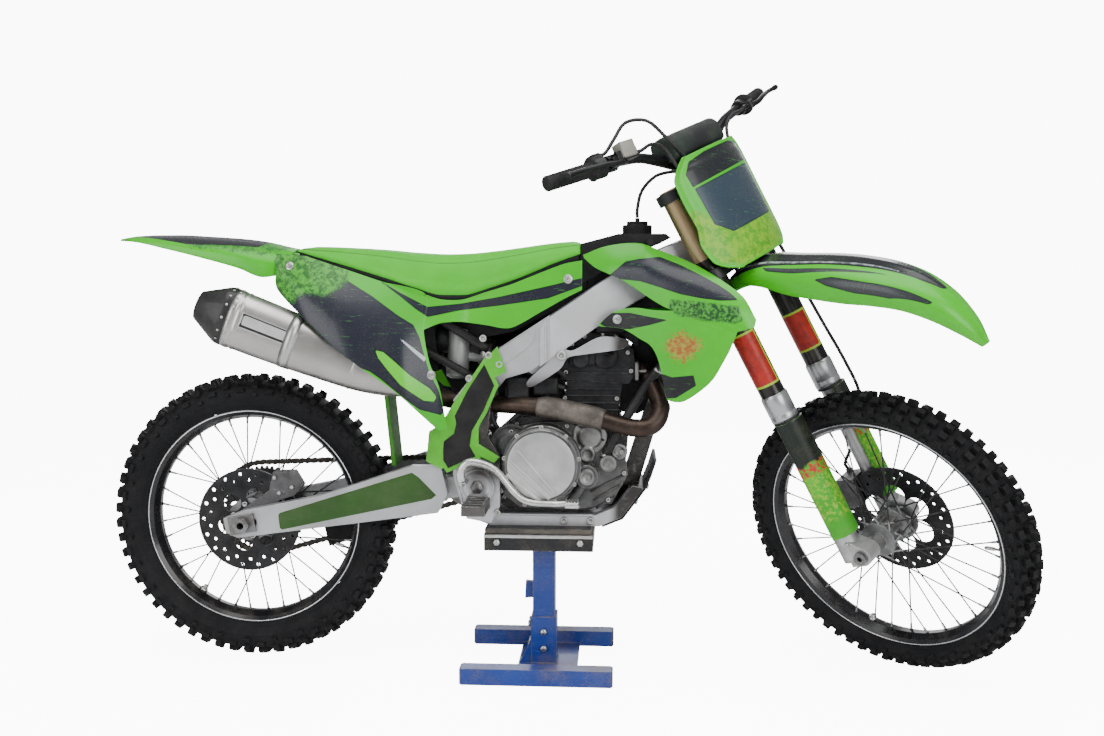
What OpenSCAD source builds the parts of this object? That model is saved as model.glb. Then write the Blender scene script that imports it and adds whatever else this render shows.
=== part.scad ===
// Off-road motorcycle held on a blue lift stand, front wheel turned to its right lock.
// +X forward, +Y left, +Z up, millimetres. The origin is on the floor under the stand.

/* [Stand] */
// Height of the pad that carries the frame rails
stand_h = 351; // [320:1:400]
// Length of each foot, fore and aft
foot_len = 340; // [280:5:420]
// Width over the two feet
foot_span = 312; // [260:2:380]
// Side of the square foot bars
foot_bar = 38; // [30:1:50]
// Side of the square lower sleeve
sleeve = 60; // [52:1:72]
// Height of the lower sleeve above the floor
sleeve_h = 120; // [100:5:200]
// Length of the top plate
pad_len = 246; // [200:2:300]
// Width of the top plate
pad_w = 240; // [180:2:280]
// Thickness of the rubber on the top plate
pad_t = 12; // [8:1:16]

/* [Wheels] */
// Distance from swingarm pivot to rear axle
swing_len = 549; // [500:1:600]
// Outside radius of the rear tyre
rear_tyre_r = 335; // [320:1:340]
// Outside radius of the front tyre
front_tyre_r = 342; // [330:1:346]
// Half width of the rear tyre
rear_tyre_w = 52; // [44:1:54]
// Half width of the front tyre
front_tyre_w = 42; // [36:1:50]
// Flange radius of the rear rim
rear_rim_r = 254; // [240:1:260]
// Flange radius of the front rim
front_rim_r = 281; // [268:1:288]
// Radius of each spoke
spoke_r = 1.7; // [1.2:0.1:2.2]
// Spokes on each side of a wheel
spoke_n = 18; // [12:2:20]
// Radius of the rear axle
rear_axle_r = 12.5; // [10:0.5:14]
// Radius of the front axle
front_axle_r = 10; // [8:0.5:12]
// Radius of the rear brake disc
rear_disc_r = 120; // [105:1:130]
// Radius of the front brake disc
front_disc_r = 130; // [115:1:140]
// Radius of the rear sprocket over its teeth
sprocket_r = 104; // [90:1:112]
// Teeth on the rear sprocket
sprocket_teeth = 50; // [40:1:56]

/* [Steering] */
// Lean of the steering axis from upright
rake = 27.4; // [24:0.1:30]
// Distance of the front axle ahead of the steering axis
axle_lead = 64; // [50:1:80]
// Distance of the fork legs ahead of the steering axis
leg_lead = 30; // [20:1:36]
// Distance of each fork leg from the centre plane
leg_y = 98; // [94:1:106]
// Turn of the bars to the right as parked
steer_rest = 43; // [0:1:45]
// Outside radius of the fork outer tubes
fork_r = 28; // [26:0.5:30]
// Radius of the sliding fork tubes
slider_r = 24; // [20:0.5:25]
// Height of the fork tops along the axis from the front axle
fork_top = 912; // [908:1:940]
// Lower end of the fork outer tubes
fork_low = 345; // [300:5:400]
// Radius of the steering stem
stem_r = 20; // [16:0.5:22]

/* [Bars] */
// Half width of the handlebar
bar_half = 402; // [370:1:420]
// Radius of the handlebar at its middle
bar_mid_r = 14; // [12:0.5:15]
// Radius of the handlebar under the grips
bar_end_r = 11; // [10:0.5:12]
// Outside radius of the grips
grip_r = 16.5; // [15:0.5:19]

/* [Body] */
// Thickness of the plastic covers
cover_t = 4; // [3:0.5:5]
// Half width of the seat at its widest
seat_half = 96; // [84:1:98]
// Distance of each frame plate's outer face from the centre plane
frame_half = 104; // [100:1:105]
// Thickness of each frame plate
plate_t = 24; // [16:1:26]
// Radius of the muffler can, across
can_half_w = 47; // [38:1:50]
// Radius of the exhaust pipe
pipe_r = 20; // [16:0.5:22]
// Radius of the clutch cover
clutch_r = 82; // [70:1:88]

/* [Hidden] */
$fn = 64;
gap = 0.3;
run = 0.06;
belly = 351;
lift = stand_h - belly;
pivot = [-135, 444];
swing_drop = 9.86;
rear_ax = [pivot[0] - swing_len * cos(swing_drop), pivot[1] - swing_len * sin(swing_drop)];
steer_p = [750.6, 0, 318.8];
arm_in = 80;
arm_out = 103.5;
plate_in = frame_half - plate_t;
chain_y = 66.5;
chain_w = 13;
drive = [-62, 452];
drive_r = 30;
head_low = 716;
head_top = 882;
clamp_t = 24;
lug_y0 = 76;
lug_y1 = 122;
front_hub_l = 72;
rear_hub_r = 62;
rear_hub_l = 75;
front_disc_y = 63;
rear_disc_y = -59;
disc_t = 4;
bar_root = [42, 230, 1012];
bar_dir = [-0.214, 0.971, 0.104];
bar_run = (bar_half - bar_root[1]) / bar_dir[1];
bar_c = [48, 0, 958];

// ---------- shared shapes ----------

function unit(v) = v / norm(v);
function way(p, i) = i == 0 ? unit(p[1] - p[0])
  : i == len(p) - 1 ? unit(p[i] - p[i - 1])
  : unit(unit(p[i + 1] - p[i]) + unit(p[i] - p[i - 1]));
function cr(a, b, c, d, t) = 0.5 * (2 * b + (c - a) * t
  + (2 * a - 5 * b + 4 * c - d) * t * t + (3 * b - a - 3 * c + d) * t * t * t);
function smooth(p, n) = concat([for (i = [0:len(p) - 2]) for (k = [0:n - 1])
  cr(p[max(i - 1, 0)], p[i], p[i + 1], p[min(i + 2, len(p) - 1)], k / n)], [p[len(p) - 1]]);
function flip(p) = [for (q = p) [q[0], -q[1], q[2]]];

// closed skin over rings of equal count, with flat ends
module loft(rings) {
  n = len(rings[0]);
  m = len(rings);
  pts = [for (r = rings) for (p = r) p];
  sides = [for (i = [0:m - 2]) for (k = [0:n - 1]) for (h = [0:1])
    h == 0 ? [i * n + (k + 1) % n, i * n + k, (i + 1) * n + k]
    : [(i + 1) * n + (k + 1) % n, i * n + (k + 1) % n, (i + 1) * n + k]];
  ends = [[for (k = [0:n - 1]) k], [for (k = [n - 1:-1:0]) (m - 1) * n + k]];
  polyhedron(pts, concat(sides, ends), convexity = 6);
}

// round tube along a smoothed path, r is one radius or one for each point
module tube(path, r, ref = [0, 0, 1], n = 10) {
  loft([for (i = [0:len(path) - 1])
    let (d = way(path, i), s = unit(cross(d, ref)), u = cross(s, d))
    let (q = is_list(r) ? r[i] : r)
    [for (k = [0:n - 1]) path[i] + q * (cos(360 * k / n) * s - sin(360 * k / n) * u)]]);
}

// thin skin between an outer and an inner grid of points
module skin(outer, inner) {
  r = len(outer);
  c = len(outer[0]);
  o = r * c;
  pts = concat([for (a = outer) for (p = a) p], [for (a = inner) for (p = a) p]);
  front = [for (i = [0:r - 2]) for (j = [0:c - 2]) for (h = [0:1])
    h == 0 ? [i * c + j, i * c + j + 1, (i + 1) * c + j]
    : [i * c + j + 1, (i + 1) * c + j + 1, (i + 1) * c + j]];
  back = [for (f = front) [f[2] + o, f[1] + o, f[0] + o]];
  rim1 = [for (j = [0:c - 2]) for (h = [0:1])
    h == 0 ? [j + 1, j, o + j] : [j + 1, o + j, o + j + 1]];
  e = (r - 1) * c;
  rim2 = [for (j = [0:c - 2]) for (h = [0:1])
    h == 0 ? [e + j, e + j + 1, o + e + j] : [e + j + 1, o + e + j + 1, o + e + j]];
  rim3 = [for (i = [0:r - 2]) for (h = [0:1])
    h == 0 ? [i * c, (i + 1) * c, o + i * c]
    : [(i + 1) * c, o + (i + 1) * c, o + i * c]];
  rim4 = [for (i = [0:r - 2]) let (a = i * c + c - 1, b = a + c) for (h = [0:1])
    h == 0 ? [b, a, o + a] : [b, o + a, o + b]];
  polyhedron(pts, concat(front, back, rim1, rim2, rim3, rim4), convexity = 6);
}

// straight round bar between two points
module bar(a, b, r) {
  d = b - a;
  translate(a) rotate([0, acos(d[2] / norm(d)), atan2(d[1], d[0])]) cylinder(h = norm(d), r = r);
}

// side profile in X and Z, extruded from y0 to y1
module xz(y0, y1) translate([0, y1, 0]) rotate([90, 0, 0]) linear_extrude(y1 - y0) children();

// round bar along Y at a point of the side view
module pin_y(p, y0, y1, r) translate([p[0], y1, p[1]]) rotate([90, 0, 0]) cylinder(h = y1 - y0, r = r);

module both() {
  children();
  mirror([0, 1, 0]) children();
}

// the motorcycle rides on the stand
module bike() translate([0, 0, lift]) children();

// frame of the fork: x ahead of the steering axis, z along it, turned to the rest angle
module steer() bike() translate(steer_p) rotate([0, -rake, 0]) rotate([0, 0, -steer_rest]) children();

module front_wheel() steer() translate([axle_lead, 0, 0]) children();
module rear_wheel() bike() translate([rear_ax[0], 0, rear_ax[1]]) children();

// turned body about the wheel's axle, profile in radius and Y
module turned() rotate([-90, 0, 0]) rotate_extrude() children();

module disc_ring(r_out, r_in, t) {
  rotate([90, 0, 0]) difference() {
    translate([0, 0, -t / 2]) cylinder(h = t, r = r_out);
    translate([0, 0, -t]) cylinder(h = 2 * t, r = r_in);
    for (k = [0:17]) rotate([0, 0, 20 * k]) translate([r_out - 12, 0, -t]) cylinder(h = 2 * t, r = 4.5);
    for (k = [0:17]) rotate([0, 0, 20 * k + 10]) translate([r_out - 26, 0, -t]) cylinder(h = 2 * t, r = 4);
    for (k = [0:5]) rotate([0, 0, 60 * k + 15]) translate([(r_out - 36 + r_in) / 2, 0, -t])
      cylinder(h = 2 * t, r = (r_out - 36 - r_in) / 2 - 8);
  }
}

// ---------- wheels ----------

module tyre(r, w, seat) turned() polygon([
  [seat + 1, -w * 0.62], [seat + (r - seat) * 0.22, -w * 0.88], [seat + (r - seat) * 0.5, -w * 0.97],
  [seat + (r - seat) * 0.78, -w], [r - 9, -w * 0.86], [r - 2, -w * 0.5], [r, 0],
  [r - 2, w * 0.5], [r - 9, w * 0.86], [seat + (r - seat) * 0.78, w],
  [seat + (r - seat) * 0.5, w * 0.97], [seat + (r - seat) * 0.22, w * 0.88], [seat + 1, w * 0.62],
  [seat + 1, w * 0.44], [seat + (r - seat) * 0.3, w * 0.7], [seat + (r - seat) * 0.6, w * 0.78],
  [r - 24, w * 0.5], [r - 20, 0], [r - 24, -w * 0.5], [seat + (r - seat) * 0.6, -w * 0.78],
  [seat + (r - seat) * 0.3, -w * 0.7], [seat + 1, -w * 0.44]]);

module rim(r, w) turned() polygon([
  [r + 0.5, -w * 0.62], [r + 0.5, -w * 0.42], [r - 8, -w * 0.4], [r - 10, -w * 0.28],
  [r - 16, -w * 0.16], [r - 16, w * 0.16], [r - 10, w * 0.28], [r - 8, w * 0.4],
  [r + 0.5, w * 0.42], [r + 0.5, w * 0.62], [r - 3, w * 0.63], [r - 12, w * 0.5],
  [r - 19, w * 0.24], [r - 21, 7], [r - 21, -7], [r - 19, -w * 0.24], [r - 12, -w * 0.5], [r - 3, -w * 0.63]]);

// crossed spokes from a hub flange at radius rh to the rim at radius rr
module spokes(rh, rr, yl, yr) for (side = [-1, 1]) for (k = [0:spoke_n / 2 - 1]) for (lean = [-1, 1]) {
  y = side > 0 ? yl : yr;
  step = 360 / spoke_n;
  a = (2 * k + lean / 2 + side / 4) * step;
  e = a - lean * 2 * step;
  bar([rh * cos(a), y + lean * 4, rh * sin(a)], [rr * cos(e), side * 4 + lean * 1.2, rr * sin(e)], spoke_r);
}

module front_tyre() color("#151515") front_wheel() tyre(front_tyre_r, front_tyre_w, front_rim_r);
module front_rim() color("#1a1a1c") front_wheel() rim(front_rim_r, front_tyre_w);
module front_spokes() color("#2a2a2a") front_wheel()
  spokes(40 + spoke_r + gap, front_rim_r - 21.3 - gap, 34, -34);
module front_hub() color("#8b8d90") front_wheel() difference() {
  turned() polygon([[0, -front_hub_l], [18, -front_hub_l], [20, -44], [40, -41], [40, -27],
    [24, -20], [24, 20], [40, 27], [40, 41], [30, 44], [30, 52], [48, 54],
    [48, front_disc_y - disc_t / 2 - gap], [20, front_disc_y - disc_t / 2 - gap],
    [18, front_hub_l], [0, front_hub_l]]);
  rotate([90, 0, 0]) cylinder(h = 200, r = front_axle_r + run, center = true);
}
module front_disc() color("#77797c") front_wheel() translate([0, front_disc_y, 0])
  disc_ring(front_disc_r, 22, disc_t);

module rear_tyre() color("#151515") rear_wheel() tyre(rear_tyre_r, rear_tyre_w, rear_rim_r);
module rear_rim() color("#1a1a1c") rear_wheel() rim(rear_rim_r, rear_tyre_w);
module rear_spokes() color("#2a2a2a") rear_wheel()
  spokes(48 + spoke_r + gap, rear_rim_r - 21.6 - gap, 36, -36);
module rear_hub() color("#8b8d90") rear_wheel() difference() {
  turned() polygon([[0, -rear_hub_r], [22, -rear_hub_r], [24, rear_disc_y + disc_t / 2 + gap],
    [50, rear_disc_y + disc_t / 2 + gap], [50, -50], [34, -46], [48, -43], [48, -29],
    [30, -22], [30, 22], [48, 29], [48, 43], [34, 46], [34, 50], [58, 54],
    [58, chain_y - 3 - gap], [24, chain_y - 3 - gap], [22, rear_hub_l], [0, rear_hub_l]]);
  rotate([90, 0, 0]) cylinder(h = 200, r = rear_axle_r + run, center = true);
}
module rear_disc() color("#77797c") rear_wheel() translate([0, rear_disc_y, 0])
  disc_ring(rear_disc_r, 26, disc_t);
module rear_sprocket() color("#3a3c3e") rear_wheel() translate([0, chain_y, 0]) rotate([90, 0, 0])
  difference() {
    translate([0, 0, -3]) linear_extrude(6) polygon([for (k = [0:4 * sprocket_teeth - 1])
      let (a = 90 * k / sprocket_teeth, r = k % 4 < 2 ? sprocket_r : sprocket_r - 6)
      [r * cos(a), r * sin(a)]]);
    translate([0, 0, -5]) cylinder(h = 10, r = 26);
    for (k = [0:5]) rotate([0, 0, 60 * k]) translate([74, 0, -5]) cylinder(h = 10, r = 15);
  }

// ---------- stand ----------

module stand_base() color("#2247a8") {
  both() translate([-foot_len / 2, foot_span / 2 - foot_bar, 0]) cube([foot_len, foot_bar, foot_bar]);
  translate([-50, -foot_span / 2 + foot_bar - 1, 0]) cube([140, foot_span - 2 * foot_bar + 2, 8]);
  translate([-sleeve / 2 + 10, -sleeve / 2, 7]) cube([sleeve, sleeve, sleeve_h - 7]);
  translate([-sleeve / 2 + 14, -sleeve / 2 + 4, sleeve_h - 1])
    cube([sleeve - 8, sleeve - 8, stand_h - pad_t - 38 - sleeve_h]);
  for (s = [-1, 1]) xz(s * 24 - 3, s * 24 + 3) polygon([[-48, 7], [-sleeve / 2 + 12, 7], [-sleeve / 2 + 12, 70]]);
  xz(-6, 6) polygon([[-sleeve / 2 + 16, 160], [-sleeve / 2 + 16, 198], [-34, 200], [-36, 158]]);
}
module stand_top() color("#3b3d40") {
  difference() {
    translate([-pad_len / 2 + 4, -pad_w / 2, stand_h - pad_t - 38]) cube([pad_len, pad_w, 38]);
    translate([-pad_len / 2 + 8, -pad_w / 2 + 4, stand_h - pad_t - 41]) cube([pad_len - 8, pad_w - 8, 36]);
  }
  translate([-sleeve / 2 + 18, -sleeve / 2 + 8, stand_h - pad_t - 39 + gap])
    cube([sleeve - 16, sleeve - 16, 36]);
  translate([-pad_len / 2 + 8, -pad_w / 2 + 4, stand_h - pad_t - 0.5]) cube([pad_len - 8, pad_w - 8, pad_t + 0.5]);
}

// ---------- frame ----------

spar_a = 11.3;
knee = [20, plate_in];

module spar_front() translate([knee[0], knee[1], 0]) rotate([0, 0, -spar_a]) xz(0, plate_t) polygon([
  [-18, 800], [0, 826], [122, 906], [235, 970], [330, 1010], [362, 1040], [385, 962], [290, 912], [166, 842], [0, 730], [-18, 717]]);

module spar_rear() xz(plate_in, frame_half) polygon([
  [28, 832], [-94, 752], [-126, 720], [-180, 643], [-190, 560], [-190, 470], [-178, 425], [-160, 370],
  [-104, 360], [-84, 400], [-84, 512], [-112, 560], [-102, 648], [-70, 690], [-16, 706], [28, 736]]);

module main_frame() color("#b9bcbf") bike() difference() {
  union() {
    both() {
      spar_front();
      spar_rear();
      xz(54, plate_in + 2) polygon([[-150, 366], [-110, belly], [140, belly], [190, 372], [240, 440],
        [214, 446], [172, 394], [130, 376], [-96, 376], [-150, 377]]);
      xz(64, plate_in + 2) polygon([[-34, 712], [6, 738], [52, 776], [66, 764], [22, 716], [-12, 698]]);
      translate([56, 54 + gap, 762]) rotate([-90, 0, 0]) cylinder(h = plate_in - 54, r = 11);
    }
    xz(-22, 22) polygon([[404, 966], [384, 945], [376, 930], [364, 898], [226, 428], [188, 440], [344, 935], [370, 990]]);
    xz(-56, 56) polygon([[240, 440], [214, 446], [206, 420], [221, 415]]);
    translate(steer_p) rotate([0, -rake, 0]) translate([0, 0, head_low]) cylinder(h = head_top - head_low, r = 32);
    xz(-34, 34) polygon([[404, 1000], [372, 1052], [350, 1048], [352, 960], [404, 956]]);
    pin_y([shock_top[0], shock_top[2]], -plate_in - 1, plate_in + 1, 14);
    pin_y([-122, 366], -56, 56, 11);
    pin_y([321, 790], -36 + gap, 36 - gap, 9);
    pin_y([296, 724], -36 + gap, 36 - gap, 9);
    pin_y(pivot, -frame_half - 3, frame_half + 3, 10);
  }
  translate(steer_p) rotate([0, -rake, 0]) translate([0, 0, head_low - 40])
    cylinder(h = head_top - head_low + 80, r = stem_r);
}

module frame_guards() color("#3fae2a") bike() both() xz(frame_half + gap, frame_half + gap + 7) polygon([
  [-88, 762], [-68, 706], [-102, 688], [-131, 576], [-131, 542], [-84, 513], [-96, 500], [-140, 520],
  [-178, 505], [-216, 484], [-250, 502], [-243, 570], [-216, 586], [-182, 643], [-126, 722]]);

sub_y = plate_in - 10 - gap - 2;

module subframe() color("#8f9296") bike() {
  both() {
    tube([[-112, sub_y, 752], [-330, sub_y, 876], [-560, sub_y - 8, 934]], 10, [0, 1, 0], 12);
    tube([[-150, sub_y, 690], [-430, sub_y - 2, 846], [-470, sub_y - 2, 905]], 9, [0, 1, 0], 12);
    bar([-108, sub_y, 742], [-108, plate_in - gap, 742], 9);
    bar([-152, sub_y, 690], [-152, plate_in - gap, 690], 8);
  }
  for (p = [[-258.7, 823.7], [-440, 903], [-552, 931]]) pin_y(p, -sub_y + 4, sub_y - 4, 7);
  both() for (p = [[-222, 822], [-350, 876], [-500, 918]])
    pin_y(p, sub_y - 4, side_y(p[0] - 6, p[1] + 6) - cover_t - 1.4, 6);
}

module skid_plate() color("#18191a") bike() xz(-plate_in, plate_in) polygon([[145, 352.7], [190.4, 371.5],
  [240.5, 439.6], [252, 468], [263, 504], [269, 503], [257, 466], [245, 437], [194, 368], [147, 348.4]]);

// ---------- engine ----------

module engine_cases() color("#84878a") bike() {
  xz(-50, 50) polygon([[-92, 398], [-96, 560], [-60, 592], [52, 606], [184, 600], [205, 560], [200, 500],
    [176, 440], [162, 400], [120, 384], [-70, 384]]);
  pin_y(drive, 49, chain_y + 6, 12);
  pin_y(drive, chain_y - 2.5, chain_y + 2.5, drive_r);
}

module engine_covers() color("#9b9ea1") bike() {
  xz(-76, -50 - gap) polygon([[-78, 420], [-94, 450], [-94, 530], [-70, 570], [0, 588], [70, 590], [120, 560],
    [196, 530], [204, 470], [168, 404], [90, 388], [-40, 392]]);
  pin_y([12, 499], -120, -75, clutch_r + 6);
  pin_y([12, 499], -136, -119, clutch_r - 2);
  pin_y([112, 470], -108, -75, 26);
  pin_y([160, 500], -100, -75, 18);
  bar([112, -90, 462], [78, -90, 410], 12);
  pin_y([62, 482], 50 + gap, 98, 76);
  pin_y([62, 482], 97, 112, 62);
}

module engine_top_end() color("#2b2d30") bike() {
  xz(-50, 50) polygon([[56, 606.6], [180, 600.8], [190, 676], [66, 686]]);
  xz(-54, 54) polygon([[50, 684], [42, 722], [66, 768], [100, 790], [160, 786], [214, 752], [222, 700], [204, 674]]);
  xz(-38, 38) polygon([[44, 716], [-40, 736], [-44, 696], [44, 690]]);
  bar([196, -26, 704], [222, -26, 704], 25);
  pin_y([160, 748], -60, -53, 14);
}

header_path = smooth([[230, -26, 704], [246, -36, 692], [264, -64, 660], [276, -94, 620], [256, -112, 588],
  [205, -112, 584], [120, -104, 606], [40, -94, 622], [-30, -78, 626], [-90, -58, 626],
  [-160, -56, 630], [-200, -59, 636], [-236, -79, 648], [-262, -87.7, 657.7]], 3);
header_end = [-267.8, -88, 659.9];
module exhaust_header() color("#5c4636") bike() {
  tube(concat([[222 + gap, -26, 704]], header_path, [header_end]), pipe_r, [0, 0, 1], 16);
}

can_up = 21.3;
module can_frame() bike() translate([-268, -88, 660]) rotate([0, 0, 2.6]) rotate([0, can_up, 0]) rotate([0, 0, 180]) children();
function oval(x, w, h, n) = [for (k = [0:n - 1]) [x, w * cos(360 * k / n), h * sin(360 * k / n)]];
module muffler() color("#a9a8a4") can_frame() loft([oval(gap, 22, 22, 28), oval(20, 24, 25, 28), oval(60, 34, 38, 28),
  oval(130, can_half_w - 2, 52, 28), oval(160, can_half_w, 55, 28), oval(440, can_half_w, 66, 28), oval(452, can_half_w, 66, 28)]);
module muffler_end_cap() color("#17181a") can_frame() difference() {
  loft([oval(452 + gap, can_half_w + 1, 67, 28), oval(470, can_half_w, 65, 28), oval(528, 26, 34, 28), oval(532, 24, 31, 28)]);
  translate([500, 0, 0]) rotate([0, 90, 0]) cylinder(h = 60, r = 18);
}

module radiators() color("#6e7275") {
  radiator_lugs();
  bike() both() translate([0, 36, 0]) difference() {
  xz(0, 90) polygon([[362, 862], [330, 874], [270, 712], [302, 700]]);
  translate([0, 8, 0]) xz(0, 74) polygon([[368, 846], [352, 852], [300, 716], [314, 710]]);
  }
}
module radiator_lugs() bike() both() for (p = [[330, 800], [303, 730]])
  pin_y(p, 125, shroud_pt([p[0] - 7, p[1] + 7], -cover_t)[1] - 0.5, 7);

// ---------- tank, seat and covers ----------

module fuel_tank() color("#1b1c1e") bike() {
  xz(-plate_in + 16, plate_in - 16) polygon([[96 + gap, 990], [180, 1012], [285, 1012], [296, 1003],
    [272, 990], [240, 977], [180, 951], [130, 918], [96 + gap, 900]]);
  xz(-42, 42) polygon([[96 + gap, 930], [180, 960], [166, 880], [110, 846], [96 + gap, 846]]);
  for (s = [-1, 1]) for (p = [[190, 968], [250, 992]])
    bar([p[0], s * (plate_in - 18), p[1]], [p[0], s * (shroud_pt([p[0] - 7, p[1] + 7], -cover_t)[1] + 0.2), p[1]], 7);
}
module fuel_cap() color("#101112") bike() translate([222, 0, 1012 + gap]) {
  cylinder(h = 20, r = 32);
  cylinder(h = 28, r = 24);
  cylinder(h = 36, r = 5);
}
module vent_hose() color("#0f1011") bike() tube(smooth([[222, 0, 1049], [222, 0, 1070], [232, 0, 1110],
  [262, 0, 1142], [298, 0, 1152], [318, 0, 1150]], 4), 4, [0, 1, 0], 8);

function seat_ring(x, zt, zb, wt, wb) = [[x, -wb, zb], [x, wb, zb], [x, wb + 1, zb + (zt - zb) * 0.3],
  [x, (wb + wt) / 2 + 3, zb + (zt - zb) * 0.68], [x, wt, zb + (zt - zb) * 0.9], [x, wt * 0.72, zt - 2], [x, wt * 0.3, zt],
  [x, -wt * 0.3, zt], [x, -wt * 0.72, zt - 2], [x, -wt, zb + (zt - zb) * 0.9],
  [x, -(wb + wt) / 2 - 3, zb + (zt - zb) * 0.68], [x, -wb - 1, zb + (zt - zb) * 0.3]];
module seat() color("#55c92c") bike() loft([seat_ring(-548, 980, 968, 66, 72),
  seat_ring(-500, 980, 954, 70, 80), seat_ring(-430, 978, 934, 74, seat_half - 8),
  seat_ring(-352, 974, 911, 76, seat_half - 3), seat_ring(-280, 968, 888, 77, seat_half), seat_ring(-211, 965, 870, 77, seat_half),
  seat_ring(-168, 966, 870, 76, seat_half), seat_ring(-100, 972, 888, 73, seat_half - 5), seat_ring(-31, 981, 912, 68, seat_half - 12),
  seat_ring(40, 990, 942, 62, seat_half - 20), seat_ring(96, 994, 962, 56, seat_half - 28)]);

seam = [[-600, 972], [-520, 962], [-352, 907], [-211, 866], [-168, 866], [-31, 908], [40, 938], [96, 957], [135, 960]];
hem = [[-600, 884], [-583, 884], [-452, 766], [-298, 656], [-216, 574], [-214, 574], [-150, 800], [135, 890]];
function side_y(x, z) = let (t = lookup(x, seam), b = lookup(x, hem), f = max(0, min(1, (t - z) / (t - b))))
  lookup(x, [[-600, 84], [-500, 94], [-352, seat_half + 6], [-200, seat_half + 8], [-60, frame_half + 3], [30, frame_half + 2], [135, 98]])
  + lookup(x, [[-600, 8], [-500, 50], [-400, 66], [-300, 66], [-215, 34], [-120, 10], [-60, 6], [135, 4]]) * sin(90 * f);
function side_grid(a, b, n, off) = [for (i = [0:len(a) - 1]) [for (k = [0:n]) let (p = a[i] + (b[i] - a[i]) * k / n)
  [p[0], side_y(p[0], p[1]) + off, p[1]]]];
panel_a = [[-590, 968], [-590, 925], [-584, 886], [-520, 828], [-452, 768], [-376, 713], [-298, 658], [-218, 577]];
panel_b = [[-520, 962], [-430, 933], [-345, 905], [-250, 878], [-250, 800], [-236, 728], [-214, 668], [-198, 577]];
strip_a = [[-254, 798], [-213, 814], [-166, 817], [-112, 810], [-57, 804], [14, 842], [60, 868], [100, 888]];
strip_b = [[-254, 878], [-213, 866], [-166, 866], [-112, 883], [-57, 900], [14, 928], [60, 945], [100, 953]];
module side_panel() {
  skin(side_grid(panel_a, panel_b, 5, -cover_t), side_grid(panel_a, panel_b, 5, 0));
  skin(side_grid(strip_a, strip_b, 3, -cover_t), side_grid(strip_a, strip_b, 3, 0));
}
module side_panels() color("#55c92c") bike() both() side_panel();

function arch(x, zc, w, ze, t) = [for (k = [-6:6]) let (a = 15 * k)
  [x, (w - t) * sin(a), ze + (zc - t - ze) * pow(max(cos(a), 0), 0.6)]];
fender_st = [[-975, 1002, 22, 996], [-940, 1007, 48, 994], [-845, 1008, 70, 976], [-760, 1004, 80, 956],
  [-677, 998, 88, 934], [-620, 990, 90, 914], [-560, 978, 80, 925]];
tail_st = [[-562, 962, 60, 950], [-520, 948, 60, 940], [-470, 932, 60, 925]];
module rear_fender() color("#55c92c") bike() {
  skin([for (s = fender_st) arch(s[0], s[1], s[2], s[3], 0)], [for (s = fender_st) arch(s[0], s[1], s[2], s[3], cover_t)]);
  xz(-52, 52) polygon([[-566, 977], [-549, 966.4], [-500, 953.2], [-470, 944.6], [-470, 940], [-500, 949], [-553, 961], [-572, 973]]);
}

shroud_y = [[95, 102], [150, 110], [200, 124], [250, 140], [300, 156], [350, 170], [400, 182], [450, 188], [480, 189]];
shroud_crown = [[95, 975], [150, 986], [230, 992], [275, 975], [353, 944], [387, 923], [447, 880], [480, 830]];
function shroud_pt(p, off) = let (t = lookup(p[0], shroud_crown), f = max(0, min(1, 1 - (t - p[1]) / 70)))
  [p[0], lookup(p[0], shroud_y) - lookup(p[0], [[95, 8], [200, 34], [300, 52], [400, 34], [480, 10]]) * f * f + off, p[1]];
function shroud_grid(a, b, n, off) = [for (i = [0:len(a) - 1]) [for (k = [0:n]) shroud_pt(a[i] + (b[i] - a[i]) * k / n, off)]];
lobe_a = [[104, 958], [131, 936], [190, 909], [235, 880], [278, 854], [330, 834], [380, 816], [425, 802], [470, 812]];
lobe_b = [[102, 965], [145, 982], [187, 990], [230, 990], [275, 973], [330, 952], [385, 922], [445, 878], [474, 828]];
wing_a = [[138, 808], [190, 803], [227, 783], [251, 768], [266, 742], [278, 696], [287, 653], [318, 647], [350, 666], [385, 700], [418, 760]];
wing_b = [[138, 814], [173, 842], [215, 850], [255, 846], [285, 845], [310, 845], [340, 840], [370, 832], [395, 824], [415, 816], [436, 808]];
module shroud() {
  skin(shroud_grid(lobe_a, lobe_b, 5, -cover_t), shroud_grid(lobe_a, lobe_b, 5, 0));
  skin(shroud_grid(wing_a, wing_b, 4, -cover_t), shroud_grid(wing_a, wing_b, 4, 0));
}
module shrouds() color("#55c92c") bike() both() shroud();

module airbox() color("#141516") bike() xz(-46, 46) polygon([[-425, 872], [-330, 852], [-240, 806], [-232, 700],
  [-300, 690], [-425, 735]]);
module mud_flap() color("#3fae2a") bike() xz(-44, 44) polygon([[-364, 712.5], [-354, 708.9], [-332, 478], [-342, 478]]);

// ---------- rear end ----------

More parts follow.
